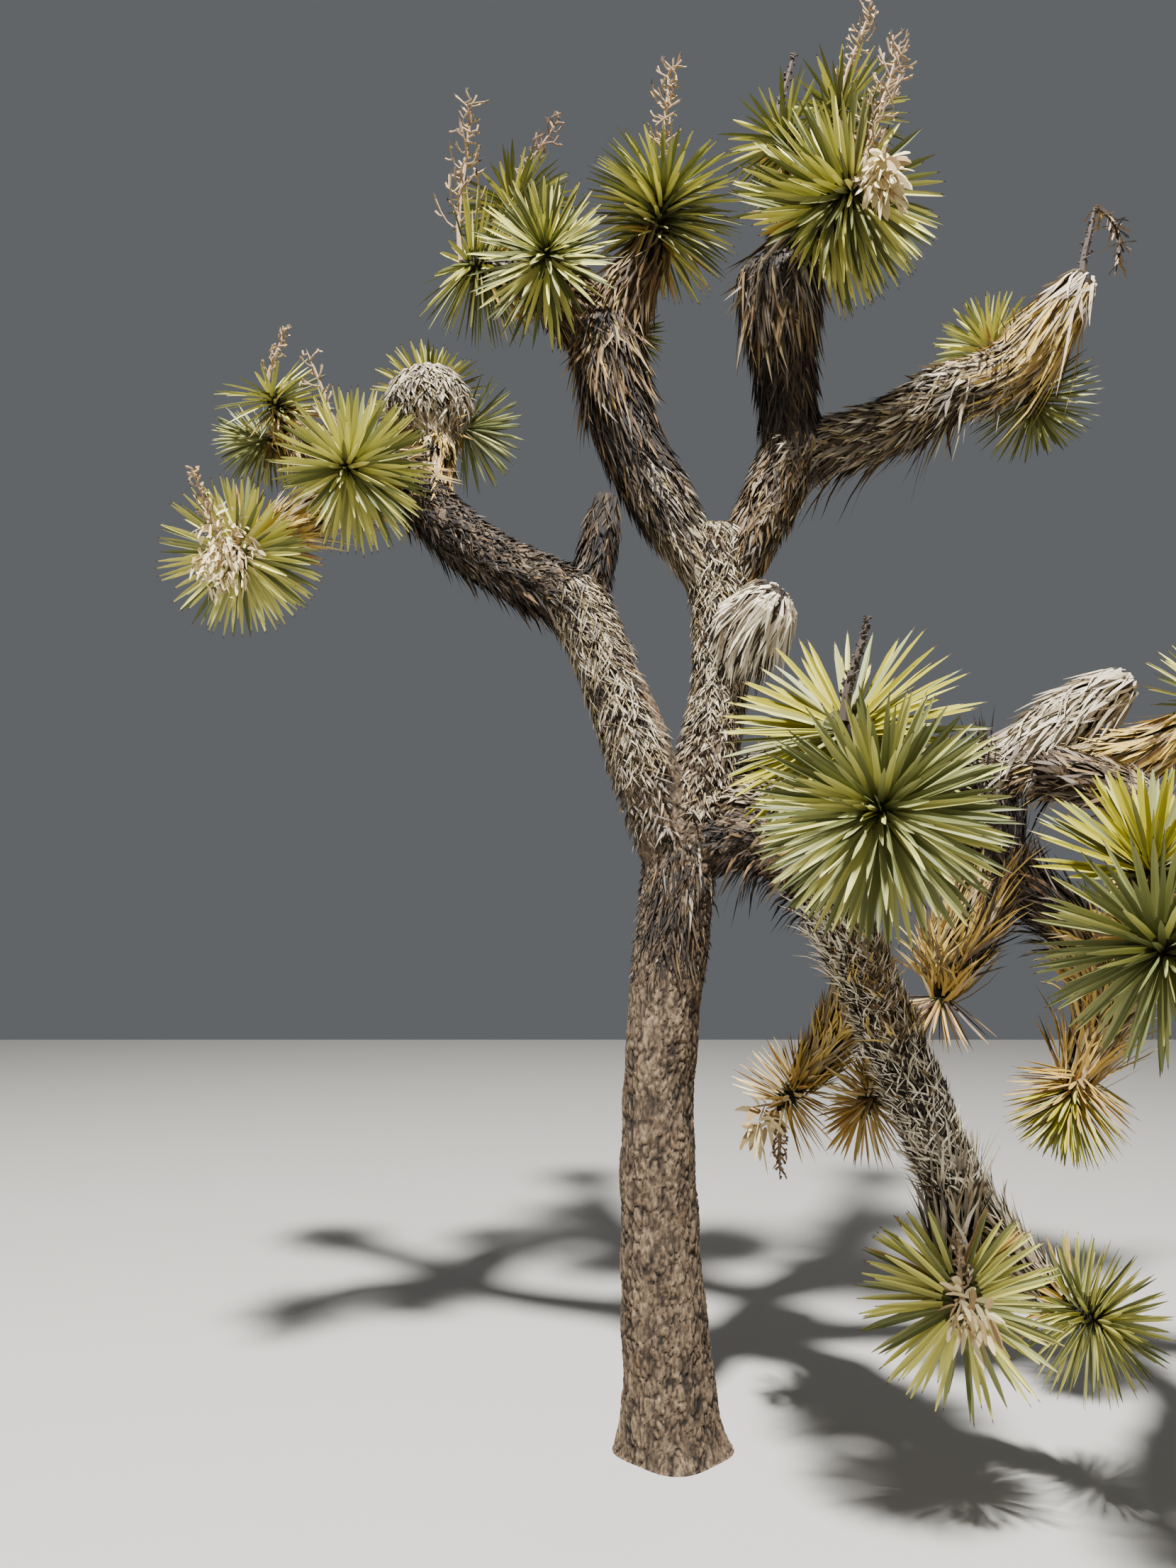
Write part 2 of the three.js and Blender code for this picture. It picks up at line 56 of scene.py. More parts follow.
# The source's rule for limbs and rosettes. Sizes are in millimetres
FOOT_DEPTH = 80
FLARE = {"width": 34, "height": 110, "lobes": 4, "lobe_share": 0.35}
LEAF_SPREAD = (13, 130)  # degrees between the rosette's axis and its leaves, from young to old
LEAF_JITTER = 5  # degrees
LEAF_OPENING = 0.72
LEAF_CROWDING = 1.35  # above 1, the youngest leaves stand closest together
LEAF_LENGTHS = (0.72, 0.94, 1, 1, 0.95, 0.86)
SPEAR_AGE = 0.06  # the share of the leaves, from the youngest, that stand together as a spear
SPEAR_SHARE = 0.5
MOST_LEAFY = 0.7
CORE_RADIUS_SHARE = 0.135
SKIRT_RADIUS = 66
LEAF_CLEARANCE = 5
LEAF_ROOT_ROOM = 20
LEAF_PROBES = (0.05, 0.15, 0.3, 0.45, 0.6, 0.75, 0.9, 1)
LENGTH_TRIES = (1, 0.85, 0.7, 0.55)
STALK_FOOT = 10
STALK_TWIG_SHARE = 0.15

# Leaves and dead leaves, finer than in the source
LEAF_SPACING = 0.64  # millimetres of leafy stem for each leaf, where a rosette has the usual reach
USUAL_REACH = 280
LEAF_WIDTH_SHARE = 0.056  # of the rosette's reach
# Share along a leaf, and share of its full width
LEAF_STATIONS = ((0, 0.7), (0.13, 0.9), (0.42, 1), (0.76, 0.78), (0.95, 0.22), (1, 0))
LEAF_SECTION = ((-0.5, 0.22), (0, 0), (0.5, 0.22), (0, -0.12))  # channelled above, keeled below
SPREADS = {"turning": (10, 84)}  # in place of the usual LEAF_SPREAD
TURNING_AGE = {"turning": 0.42}  # the share of its leaves, from the youngest, after which they turn
USUAL_TURNING_AGE = 0.78
DEAD_STATIONS = ((0, 0.85), (0.35, 1), (0.7, 0.75), (1, 0))
DEAD_SECTION = ((-0.5, 0.04), (0.5, 0.04), (0, -0.12))
SHORT_BLADE = 80  # millimetres, up to which a dead leaf has fewer stations
UPPER_HEIGHT = 3  # metres, above which a rosette's leaves belong to the upper piece
TWIG_SECTION = tuple((0.5 * math.cos(a * math.tau / 5), 0.5 * math.sin(a * math.tau / 5)) for a in range(5))

# Bark. Sizes are in metres
BARK_VOXEL = 0.006
BARK_RING_STEP = 0.02
PLATE_WIDTH = 0.02
PLATE_LENGTH = 0.046
PLATE_RELIEF = 0.011
LUMP_RELIEF = 0.008
FLAKE_WIDTH = 0.0095  # of the bark's upright flakes
FLAKE_SLIMNESS = 0.45  # their width, as a share of their height
PATCH_SIZE = 0.14  # of the places where the bark has flaked down to its reddish layer
COATED_BARK_SHADE = 0.4  # a share that gives the bark under a coat of dead leaves a dark painted shade
CAP_SHARE = 0.45  # how far a limb rounds off beyond its tip, as a share of its last radius

# Camera, lights and floor, in metres
CAMERA_PLACE = (-0.2522, -3.70, 1.50)
CAMERA_PITCH = 7.41  # degrees above level
PHOTO_HEIGHT, FOCAL_LENGTH = 2212, 1661  # pixels
SENSOR = 36  # millimetres, along the photo's longer side
# Each light: its place, what it points at, its width and its power
LIGHTS = {
    "key": ((-1.0, -5.8, 13.3), (0.1, 0, 2.4), 0.9, 9300),
    "fill": ((7.0, -6.0, 5.0), (0.1, 0, 2.2), 5.0, 40),
    "rim": ((3.0, 8.0, 8.0), (0.1, 0, 2.4), 4.0, 120),
}
SURROUND = ("#dfe4ea", 0.17)  # its colour and strength
FLOOR_REACH = 14

# Where the seeds for each kind of piece start
SEEDS = {"leaves": 500, "coats": 1000, "skirts": 3000, "stalks": 7000, "remains": 7100, "bark": 9000}

DOMED_GIRTH = (66, 56, 52, 54, 64, 122, 150, 118)

# Each limb: its parent, the share of the way along it, the point it bends through, its tip and its radii
LIMBS = {
    "trunk": (None, 0, (-38, 0, 960), (52, 0, 1850), (138, 133, 121, 113, 118, 122)),
    "left_bough": ("trunk", 0.92, (-108, -30, 2150), (-300, -50, 2590), (112, 118, 118, 108, 96, 106)),
    "left_stub": ("left_bough", 0.93, (-222, -50, 2730), (-192, -50, 2905), (74, 64, 58, 40)),
    "left_arm": ("left_bough", 0.97, (-600, -20, 2735), (-880, 10, 3010), (104, 94, 90, 86)),
    "left_riser": ("left_arm", 0.78, (-765, 85, 3110), (-808, 130, 3370), DOMED_GIRTH),
    "left_back_limb": ("left_arm", 0.97, (-1090, 230, 3150), (-1290, 330, 3270), (76, 72, 66)),
    "column": ("trunk", 0.93, (172, 25, 2300), (176, 30, 2800), (118, 108, 90, 100, 108)),
    "centre_limb": ("column", 0.8, (-130, 5, 3170), (-197, -20, 3510), (60, 84, 102, 106, 116, 116)),
    "centre_left_limb": ("centre_limb", 0.94, (-330, 50, 3670), (-450, 110, 3800), (98, 92, 78)),
    "centre_rear_limb": ("centre_limb", 0.9, (-324, 360, 3752), (-455, 660, 4056), (82, 74, 68)),
    "centre_right_limb": ("centre_limb", 0.95, (-125, -30, 3620), (-72, -35, 3700), (94, 92, 84)),
    "right_limb": ("column", 0.8, (362, 5, 2960), (438, -25, 3120), (64, 86, 96, 98)),
    "right_upper_limb": ("right_limb", 0.93, (378, -110, 3350), (352, -205, 3600), (92, 92, 100, 124, 134)),
    "right_back_limb": ("right_upper_limb", 0.93, (455, -60, 3830), (540, 0, 4080), (84, 80, 70)),
    "right_rear_limb": ("right_upper_limb", 0.62, (462, 250, 3681), (637, 600, 4175), (80, 74, 68)),
    "right_arm": ("right_limb", 0.9, (722, 0, 3165), (985, 45, 3335), (90, 92, 94, 90)),
    "broom_limb": ("right_arm", 0.95, (1150, 20, 3375), (1385, -50, 3650), (84, 90, 98, 106, 84, 60)),
    "mop_stub": ("column", 0.62, (258, -78, 2475), (320, -150, 2535), (62, 110, 92)),
    "low_bough": ("trunk", 0.95, (270, -70, 1800), (470, -150, 1655), (100, 94, 94)),
    "front_limb": ("low_bough", 0.6, (385, -420, 1765), (408, -700, 1835), (84, 80, 76)),
    "drooping_limb": ("low_bough", 0.93, (612, -275, 1220), (742, -405, 830), (90, 86, 88, 80)),
    "east_limb": ("column", 0.16, (620, 40, 1985), (1225, -70, 2040), (98, 90, 88, 80)),
    "dead_stub": ("east_limb", 0.84, (1260, -80, 2190), (1410, -118, 2282), (70, 88, 66)),
    "east_tip_limb": ("east_limb", 0.96, (1400, -140, 2060), (1560, -200, 2120), (74, 72, 66)),
    "shaded_limb": ("east_limb", 0.76, (1010, -5, 1880), (1035, 20, 1690), (84, 92, 92)),
    "shaded_left_limb": ("shaded_limb", 0.9, (960, 40, 1560), (885, 75, 1420), (84, 96, 90)),
    "shaded_right_limb": ("shaded_limb", 0.88, (1265, 35, 1530), (1385, 70, 1285), (80, 78, 74)),
    "near_limb": ("east_limb", 0.94, (1310, -420, 1850), (1130, -740, 1565), (76, 74, 70)),
    "rear_limb": ("column", 0.12, (330, 480, 2060), (560, 800, 2170), (88, 80, 72)),
}

# Each rosette: its limb, the share of the way along it, its heart, the way it faces, its reach, and the
# length of stem that bears leaves
ROSETTES = {
    "left_far": ("left_back_limb", 0.97, (-1413, 330, 3470), (-0.35, -0.45, 0.8), 232, 130),
    "left_behind": ("left_back_limb", 0.93, (-1490, 470, 3330), (-0.9, 0.3, 0.1), 215, 130),
    "left_front": ("left_arm", 0.97, (-1010, -180, 2948), (0.05, -0.82, -0.57), 288, 150),
    "left_low": ("left_arm", 0.97, (-1345, -200, 2650), (0.0, -0.85, -0.52), 272, 160),
    "left_top": ("left_riser", 0.72, (-830, 360, 3470), (-0.1, 0.5, 0.85), 235, 130),
    "left_inner": ("left_riser", 0.55, (-660, 290, 3290), (0.8, 0.55, 0.1), 245, 130),
    "centre_front": ("centre_left_limb", 0.75, (-390, -160, 3704), (-0.05, -0.97, 0.2), 290, 170),
    "centre_left": ("centre_left_limb", 0.97, (-690, 90, 3810), (-0.85, -0.3, 0.2), 290, 130),
    "centre_top": ("centre_left_limb", 0.97, (-531, 300, 4190), (-0.1, 0.1, 1), 262, 130),
    "centre_right": ("centre_right_limb", 0.97, (7, -60, 4003), (0.1, -0.3, 0.95), 300, 230),
    "centre_small": ("centre_limb", 0.9, (-100, 200, 3590), (0.75, 0.6, 0.1), 165, 130),
    "centre_rear": ("centre_rear_limb", 0.97, (-518, 920, 4262), (-0.2, 0.95, 0.1), 240, 130),
    "right_front": ("right_upper_limb", 0.97, (578, -420, 3738), (0.55, -0.74, -0.35), 340, 240),
    "right_top": ("right_back_limb", 0.97, (623, 50, 4372), (0.06, 0.05, 1), 264, 130),
    "right_back": ("right_back_limb", 0.72, (393, 0, 4225), (-0.5, 0.2, 0.8), 255, 130),
    "right_rear": ("right_rear_limb", 0.97, (736, 840, 4403), (0.2, 0.95, 0.15), 228, 130),
    "arm_upper": ("broom_limb", 0.24, (1160, 230, 3585), (-0.15, 0.5, 0.8), 225, 130),
    "arm_lower": ("broom_limb", 0.5, (1290, 160, 3290), (0.4, 0.35, -0.82), 245, 130),
    "near_front": ("front_limb", 0.97, (417, -1000, 1789), (-0.45, -0.87, -0.05), 340, 190),
    "near_back": ("front_limb", 0.8, (400, -745, 2045), (-0.48, -0.62, 0.62), 368, 130),
    "east_upper": ("near_limb", 0.97, (1052, -985, 1660), (-0.1, -0.75, 0.5), 318, 130),
    "east_lower": ("near_limb", 0.97, (985, -1165, 1455), (0.0, -0.85, -0.5), 285, 130),
    "east_tip": ("east_tip_limb", 0.97, (1705, -265, 2215), (0.7, -0.55, 0.38), 290, 130),
    "hanging_right": ("shaded_right_limb", 0.97, (1245, 95, 955), (-0.45, -0.12, -0.88), 235, 130),
    "withered_left": ("drooping_limb", 0.33, (322, -20, 975), (-0.7, 0.0, -0.7), 205, 130),
    "withered_inner": ("drooping_limb", 0.52, (545, -130, 985), (-0.55, 0.4, -0.6), 200, 130),
    "shaded_left": ("shaded_left_limb", 0.97, (855, 90, 1290), (-0.5, 0.2, -0.8), 215, 130),
    "low_front": ("drooping_limb", 0.97, (706, -560, 555), (-0.12, -0.95, -0.05), 292, 130),
    "low_right": ("drooping_limb", 0.88, (1095, -475, 498), (0.45, -0.75, -0.1), 230, 130),
    "rear_upper": ("rear_limb", 0.97, (690, 960, 2260), (0.25, 0.7, 0.65), 260, 130),
    "rear_lower": ("rear_limb", 0.85, (790, 800, 2010), (0.7, 0.4, -0.1), 245, 130),
}
# The tone of the leaves of all rosettes that aren't sunny
LEAF_TONES = {
    # on left_behind, the darker olive tone is a painted shade
    "olive": ("left_behind", "near_front", "rear_lower"),
    "shaded": ("left_inner", "centre_small", "arm_lower", "east_lower"),
    # crowns seen from below: many dark olive and leaf-foot leaves among the lit ones, as painted shade
    "dappled": (
        "centre_front", "centre_left", "centre_top", "centre_right", "right_front", "right_top",
        "right_back",
    ),
    "golden": ("near_back", "east_upper"),
    "turning": ("hanging_right",),
    "withered": ("withered_left", "withered_inner"),
    "sheltered": ("shaded_left",),
}
# The tone of the dead leaves under all rosettes where they aren't straw
SKIRT_TONES = {
    "rust": ("centre_front", "centre_right"),
    "brown": ("centre_left", "centre_small", "right_front", "near_front", "near_back", "rear_lower"),
    "grey": ("arm_upper", "arm_lower"),
    "frosted": ("low_front", "low_right"),
}

# Each dried flower stalk: what it stands on, its top, the number of its twigs and its tone
FLOWER_STALKS = (
    ("left_far", 0, (-1340, 300, 3684), 16, "bleached"),
    ("left_back_limb", 0.5, (-1240, 200, 3552), 14, "bleached"),
    ("left_low", 0, (-1440, -330, 2900), 22, "bleached"),
    ("centre_left", 0, (-660, 130, 4440), 34, "bleached"),
    ("centre_top", 0, (-352, 330, 4530), 22, "tanned"),
    ("centre_right", 0, (32, 0, 4480), 34, "bleached"),
    ("right_front", 0, (735, -335, 4295), 44, "bleached"),
    ("right_top", 0, (746, 30, 4738), 30, "bleached"),
    ("right_back", 0, (470, 40, 4560), 22, "charred"),
    ("broom_limb", 1, (1437, -60, 3911), 24, "charred"),
    ("near_back", 0, (471, -750, 2320), 34, "charred"),
    ("withered_left", 0, (325, -30, 790), 20, "tanned"),
    ("low_front", 0, (715, -500, 740), 14, "bleached"),
)
# Papery remains of flowers before a rosette's heart: how many, how long, and the radius of their heap
FLOWER_REMAINS = {
    "left_low": (280, 44, 100),
    "right_front": (85, 95, 50),
    "low_front": (46, 75, 50),
    "withered_left": (30, 100, 40),
}

BENT_TOPS = {"broom_limb": (75, 190)}  # how far a stalk's head hangs over to the right, and down

# A coat of dead leaves starts at one share of the way along a limb and ends at another, where 1 closes
# over the tip. Its blades have a least and a most length and a width. Then come the number of layers and
# the tone, how far blades stand off and hang, the side that is covered, if it's only one, with the least
# share of a blade's direction that lies toward it, and how far blades stray from the limb's direction
COAT_FIELDS = "start end length width layers tone lift hang side least stray"
Coat = namedtuple("Coat", COAT_FIELDS, defaults=(0.5, 0.15, None, -0.4, 0.34))
BELOW = (0, -0.2, -1)
COATS = {
    "trunk": [
        Coat(0.8, 0.95, (70, 130), 7, 1.8, "shadow", 0.7, 0.3, (-0.1, -1, 0), 0.78),
        Coat(0.93, 0.99, (150, 220), 11, 2.0, "pale", 0.3, 0.2, (0.55, -1, 0), 0.9, 0.2),
        Coat(0.76, 0.99, (18, 36), 8, 0.6, "shadow", 0.9, 0.1),
    ],
    "left_bough": [
        Coat(0.14, 0.5, (20, 42), 8, 0.7, "grey", 0.9, side=(-0.9, -0.4, -0.3), least=0.2, stray=0.7),
        Coat(0.36, 1, (34, 68), 6, 2.0, "fibrous", 0.45, side=(-0.85, -0.5, 0.1), least=-0.05, stray=0.7),
        Coat(0.75, 1, (30, 60), 8, 1.8, "weathered", 0.7, side=(0.6, 0.2, 0.3), least=-0.3, stray=0.6),
    ],
    "left_stub": [Coat(0, 1, (50, 90), 9, 3.0, "shadow")],
    "left_arm": [
        Coat(0, 1, (22, 45), 8, 1.6, "shadow", 0.6, stray=0.5),
        Coat(0, 1, (60, 110), 9, 1.8, "shadow", 0.6, 0.3, BELOW, 0.4),
    ],
    "left_riser": [
        Coat(0.1, 0.62, (100, 160), 12, 2.2, "straw", 0.6, stray=0.2),
        Coat(0.5, 1, (40, 75), 9, 4.0, "frosted", 0.8, stray=0.6),
        Coat(0.46, 0.62, (70, 110), 12, 2.0, "shadow", 1.0, 0.3),
    ],
    "left_back_limb": [Coat(0, 1, (80, 140), 12, 2.4, "grey")],
    "column": [
        Coat(0.14, 0.55, (20, 40), 7, 1.0, "weathered", 0.8, stray=0.6),
        Coat(0.45, 1, (28, 60), 6, 1.8, "fibrous", 0.45, stray=0.7),
    ],
    "centre_limb": [
        Coat(0, 0.5, (45, 80), 8, 2.6, "weathered"),
        Coat(0.35, 1, (90, 150), 9, 2.6, "shadow"),
        Coat(0.8, 1, (110, 180), 10, 1.8, "rust", 0.9, 0.3, stray=0.2),
    ],
    "centre_left_limb": [Coat(0, 1, (110, 180), 11, 3.0, "rust", stray=0.2)],
    "centre_rear_limb": [Coat(0, 1, (90, 140), 11, 2.2, "grey")],
    "centre_right_limb": [Coat(0, 1, (110, 180), 12, 2.8, "rust", 0.8, stray=0.2)],
    "right_limb": [Coat(0, 1, (50, 90), 9, 2.6, "brown")],
    "right_upper_limb": [
        Coat(0, 1, (90, 150), 9, 3.0, "shadow"),
        Coat(0.72, 1, (110, 180), 10, 2.2, "brown", 0.8, 0.3, stray=0.2),
    ],
    "right_back_limb": [Coat(0, 1, (90, 150), 11, 2.4, "brown")],
    "right_rear_limb": [Coat(0, 1, (90, 140), 11, 2.2, "grey")],
    "right_arm": [
        Coat(0, 1, (60, 110), 10, 2.6, "weathered"),
        Coat(0.1, 1, (110, 190), 10, 1.0, "brown", 0.8, 0.5, BELOW, 0.4),
        Coat(0.84, 1, (70, 130), 12, 1.4, "grey", 1.3, 0.4),
    ],
    "broom_limb": [
        Coat(0, 0.5, (60, 105), 10, 2.6, "weathered", hang=0.3),
        Coat(0.42, 0.98, (190, 300), 11, 3.2, "straw", 0.25, 0.05, stray=0.12),
        Coat(0.7, 1, (210, 310), 11, 2.6, "straw", 0.9, 0.45, (0.8, -0.4, -0.6), -0.1, 0.1),
        Coat(0.9, 1, (70, 140), 12, 2.2, "silver", 0.9, 0.3),
    ],
    "mop_stub": [
        Coat(0.3, 1, (65, 115), 12, 4.6, "bleached_fibre", 0.5, 0.55, stray=0.34),
        Coat(0.3, 0.8, (60, 100), 9, 1.4, "shadow", 0.4, 0.7),
    ],
    "low_bough": [
        Coat(0.2, 1, (24, 46), 9, 1.0, "shadow"),
        Coat(0.4, 1, (80, 130), 9, 1.4, "shadow", 0.6, 0.7, BELOW, 0.4),
    ],
    "front_limb": [Coat(0, 1, (90, 150), 12, 2.4, "brown")],
    "drooping_limb": [
        Coat(0, 1, (34, 60), 9, 1.6, "shadow", 0.4, 0.2, stray=0.7),
        Coat(0.1, 1, (34, 70), 6, 1.6, "bleached_fibre", 1.2, 0.3, (-0.5, -0.8, 0), -0.3, 0.9),
        Coat(0.05, 0.6, (30, 60), 8, 2.4, "rust", 1.6, 0.2, (0.9, -0.6, 0.3), 0.25, 0.8),
        Coat(0, 0.4, (100, 170), 9, 1.0, "bleached_fibre", 0.9, 0.3, (-0.9, -0.5, 0.1), 0.1),
    ],
    "east_limb": [
        Coat(0.05, 1, (30, 60), 9, 2.2, "weathered", 0.5, 0.2),
        Coat(0.2, 1, (80, 140), 9, 0.9, "shadow", 0.8, 0.6, BELOW, 0.3),
    ],
    "dead_stub": [Coat(0, 1, (100, 180), 12, 4.0, "silver", 0.55, 0.3)],
    "east_tip_limb": [Coat(0, 1, (120, 190), 11, 3.0, "straw", 0.6, 0.25, stray=0.16)],
    "shaded_limb": [Coat(0, 1, (120, 200), 10, 3.0, "shadow", 1.2, stray=0.2)],
    "shaded_left_limb": [
        Coat(0.3, 1, (150, 240), 10, 4.6, "straw", 1.1, 0.05, (-1, -0.6, 0), -0.15, 0.12),
        Coat(0, 1, (120, 190), 10, 3.0, "shadow", 1.1, 0.1, (1, 0, -0.3), -0.1, 0.2),
    ],
    "shaded_right_limb": [
        Coat(0, 0.7, (120, 190), 10, 2.6, "shadow", 1.1, stray=0.2),
        Coat(0.6, 1, (140, 220), 10, 3.0, "straw", 1.2, 0.1, stray=0.16),
    ],
    "near_limb": [Coat(0, 1, (90, 150), 12, 2.4, "brown")],
    "rear_limb": [Coat(0, 1, (80, 140), 11, 2.2, "grey")],
}
# The dead leaves under a rosette, by the tone of its living ones: where they end, their lengths and width
# as shares of its reach, their layers, and how far they stand off, hang and stray
SKIRTS = {
    "turning": (0.9, (0.75, 1.05), 0.045, 5.5, 1.7, 0, 0.14),
    "sheltered": (0.95, (0.6, 0.9), 0.045, 5.5, 1.6, 0.2, 0.2),
}
USUAL_SKIRT = (None, (0.5, 0.8), 0.042, 3.3, 0.8, 0.1, 0.16)  # it ends among the lowest leaves
# The bark's radius, as a share of the limb's: of the trunk, and where a coat of dead leaves lies over it
TRUNK_SHARE = 0.97
BARE_SHARE = 0.86
FUSED_LIMBS = ("trunk", "left_bough", "left_arm", "column", "low_bough")

# Leaf and thatch colours, each a plain colour that is dealt out leaf by leaf
LEAF_COLOURS = {
    "leaf_fresh": "#c5c060",
    "leaf_yellow_green": "#a9a657",
    "leaf_golden": "#989010",
    "leaf_green": "#82844c",
    "leaf_olive": "#565b2c",
    "leaf_ageing": "#9f8036",
    "leaf_straw": "#ab8a45",
    # leaf_pale_straw is the straw of withered leaves, made paler in part as painted light where they hang in
    # shade under the boughs
    "leaf_pale_straw": "#d0b97d",
    "leaf_tan": "#8f7041",
    "leaf_spine": "#4e3b2c",
    # leaf_foot is a painted shade: dark olive on the first stretch of each leaf, by the rosette's heart, and
    # on some whole leaves
    "leaf_foot": "#4d4f26",
}
DEAD_COLOURS = {
    # thatch_bone is bleached fibre, made paler in part as painted light on thatch that hangs in shade
    "thatch_bone": "#d9cdb3",
    "thatch_silver": "#b7ab93",
    "thatch_pale": "#9b8b70",
    "thatch_grey": "#6a6055",
    "thatch_tan": "#7f6e4b",
    "thatch_straw": "#b5974b",
    "thatch_rust": "#6b5233",
    # thatch_brown is a brown dead leaf, darkened in part as painted shade; thatch_dark is a near-black
    # painted shade, dealt among the blades of thatch in shade and used for the stems under the leaves
    "thatch_brown": "#392d1f",
    "thatch_dark": "#19130e",
}
STALK_COLOURS = {
    "stalk_bleached": "#988062",
    "stalk_tanned": "#7d644c",
    "stalk_charred": "#3d332b",
    "petal_cream": "#cdbb8d",
    "petal_tan": "#997f55",
}


def mix(kind, **shares):
    """Shares of the colours of one kind."""
    return {kind + "_" + name: share for name, share in shares.items()}


# Each tone: its colours, with the share of each
TONES = {
    "sunny": mix("leaf", fresh=4, yellow_green=4, green=3, olive=2),
    # painted shade: dark olive and leaf-foot colour dealt among the lit leaf colours
    "dappled": mix("leaf", fresh=5, yellow_green=3, green=3, olive=6, foot=2),
    "olive": mix("leaf", yellow_green=3, green=4, olive=4),
    "golden": mix("leaf", golden=7, yellow_green=1, green=3),
    "shaded": mix("leaf", yellow_green=1, green=3, olive=5),
    "turning": mix("leaf", golden=3, yellow_green=3, green=2, ageing=1),
    # withered straw and tan, with much dark spine-brown as painted shade
    "sheltered": mix("leaf", straw=4, tan=3, spine=4),
    "withered": mix("leaf", pale_straw=6, straw=3, tan=2),
    "aged": mix("leaf", ageing=5, straw=3, tan=2),
    "weathered": mix("thatch", silver=2, pale=4, grey=3, tan=3, brown=4),
    "pale": mix("thatch", pale=6, silver=2, grey=3, tan=2),
    "grey": mix("thatch", grey=6, pale=3, tan=1, brown=2),
    "silver": mix("thatch", silver=6, pale=3, grey=1),
    "straw": mix("thatch", straw=6, pale=1, tan=2, rust=1),
    "brown": mix("thatch", brown=5, tan=2, grey=2, rust=2),
    "rust": mix("thatch", rust=5, brown=3, tan=3, straw=1),
    "shadow": mix("thatch", brown=4, dark=6, grey=0.5, rust=0.5),
    # bleached fibre, its paleness partly painted light
    "bleached_fibre": mix("thatch", bone=6, silver=3, pale=1, brown=1),
    "fibrous": mix("thatch", silver=4, pale=4, tan=3, brown=3, dark=3),
    "frosted": mix("thatch", silver=4, pale=4, grey=2, tan=1, dark=1),
    "bleached": mix("stalk", bleached=1),
    "tanned": mix("stalk", tanned=1),
    "charred": mix("stalk", charred=1),
    "petals": mix("petal", cream=4, tan=1),
    "pale_scraps": mix("stalk", charred=2, tanned=2) | mix("petal", tan=1),
}


# Lines that limbs and stems follow


def metres(values):
    return MM * np.array(values, float)


def unit(vectors):
    return vectors / np.maximum(np.linalg.norm(vectors, axis=-1, keepdims=True), 1e-9)


def limb_points(foot, via, tip, count=400):
    """Points on a centripetal curve through three points, as the source's limbs follow."""
    knots = np.array([2 * foot - via, foot, via, tip, 2 * tip - via])
    points = []
    for k in (1, 2):
        p0, p1, p2, p3 = knots[k - 1 : k + 3]
        gaps = [max(np.linalg.norm(b - a) ** 0.5, 1e-6) for a, b in ((p0, p1), (p1, p2), (p2, p3))]
        start = ((p1 - p0) / gaps[0] - (p2 - p0) / (gaps[0] + gaps[1]) + (p2 - p1) / gaps[1]) * gaps[1]
        end = ((p2 - p1) / gaps[1] - (p3 - p1) / (gaps[1] + gaps[2]) + (p3 - p2) / gaps[2]) * gaps[1]
        t = np.linspace(0, 1, count)[:, None]
        points.append(
            p1
            + start * t
            + (-3 * p1 + 3 * p2 - 2 * start - end) * t**2
            + (2 * p1 - 2 * p2 + start + end) * t**3
        )
    return np.vstack([points[0], points[1][1:]])


def stem_points(foot, bend, heart, count=400):
    t = np.linspace(0, 1, count)[:, None]
    return (1 - t) ** 2 * foot + 2 * t * (1 - t) * bend + t**2 * heart


def make_line(points):
    """A line's places, directions and side axes at evenly spread stations."""
    steps = np.linalg.norm(np.diff(points, axis=0), axis=1)
    reached = np.concatenate([[0], np.cumsum(steps)])
    wanted = np.linspace(0, reached[-1], STATIONS)
    places = np.stack([np.interp(wanted, reached, points[:, i]) for i in range(3)], axis=1)
    directions = unit(np.gradient(places, axis=0))
    axis = np.array([0.0, 1.0, 0.0]) if abs(directions[0, 1]) < 0.9 else np.array([1.0, 0.0, 0.0])
    normals = []
    for direction in directions:
        axis = unit(axis - direction * axis.dot(direction))
        normals.append(axis)
    normals = np.array(normals)
    return SimpleNamespace(
        length=reached[-1],
        place=places,
        direction=directions,
        normal=normals,
        binormal=np.cross(directions, normals),
    )


def read_line(line, key, share):
    """The line's place, direction or side axis at a share of the way along it."""
    at = np.clip(np.asarray(share, float), 0, 1) * (STATIONS - 1)
    low = np.minimum(at.astype(int), STATIONS - 2)
    part = (at - low)[..., None]
    rows = getattr(line, key)
    return rows[low] * (1 - part) + rows[low + 1] * part


def along(values, share):
    return np.interp(share, np.linspace(0, 1, len(values)), values)


def cap_length(line, girth):
    """How far a limb rounds off beyond its tip, as a share of its length."""
    return CAP_SHARE * girth[-1] / line.length


def envelope(line, girth, share):
    """The limb's radius at a share of the way along it, and over its rounded tip."""
    beyond = np.clip((share - 1) / cap_length(line, girth), 0, 1)
    return along(girth, share) * np.sqrt(1 - beyond**2)


def round_line(line, share, angle, radius):
    """Points round a line. Beyond its ends it goes straight on."""
    share = np.asarray(share, float)
    beyond = (share - np.clip(share, 0, 1)) * line.length
    out = (
        read_line(line, "normal", share) * np.cos(angle)[..., None]
        + read_line(line, "binormal", share) * np.sin(angle)[..., None]
    )
    place = read_line(line, "place", share) + read_line(line, "direction", share) * beyond[..., None]
    return place + out * np.asarray(radius)[..., None], out


def flare_radius(height, angle):
    lobe = 1 + FLARE["lobe_share"] * np.cos(FLARE["lobes"] * angle)
    return MM * FLARE["width"] * lobe * np.exp(-np.maximum(height, 0) / (MM * FLARE["height"]))


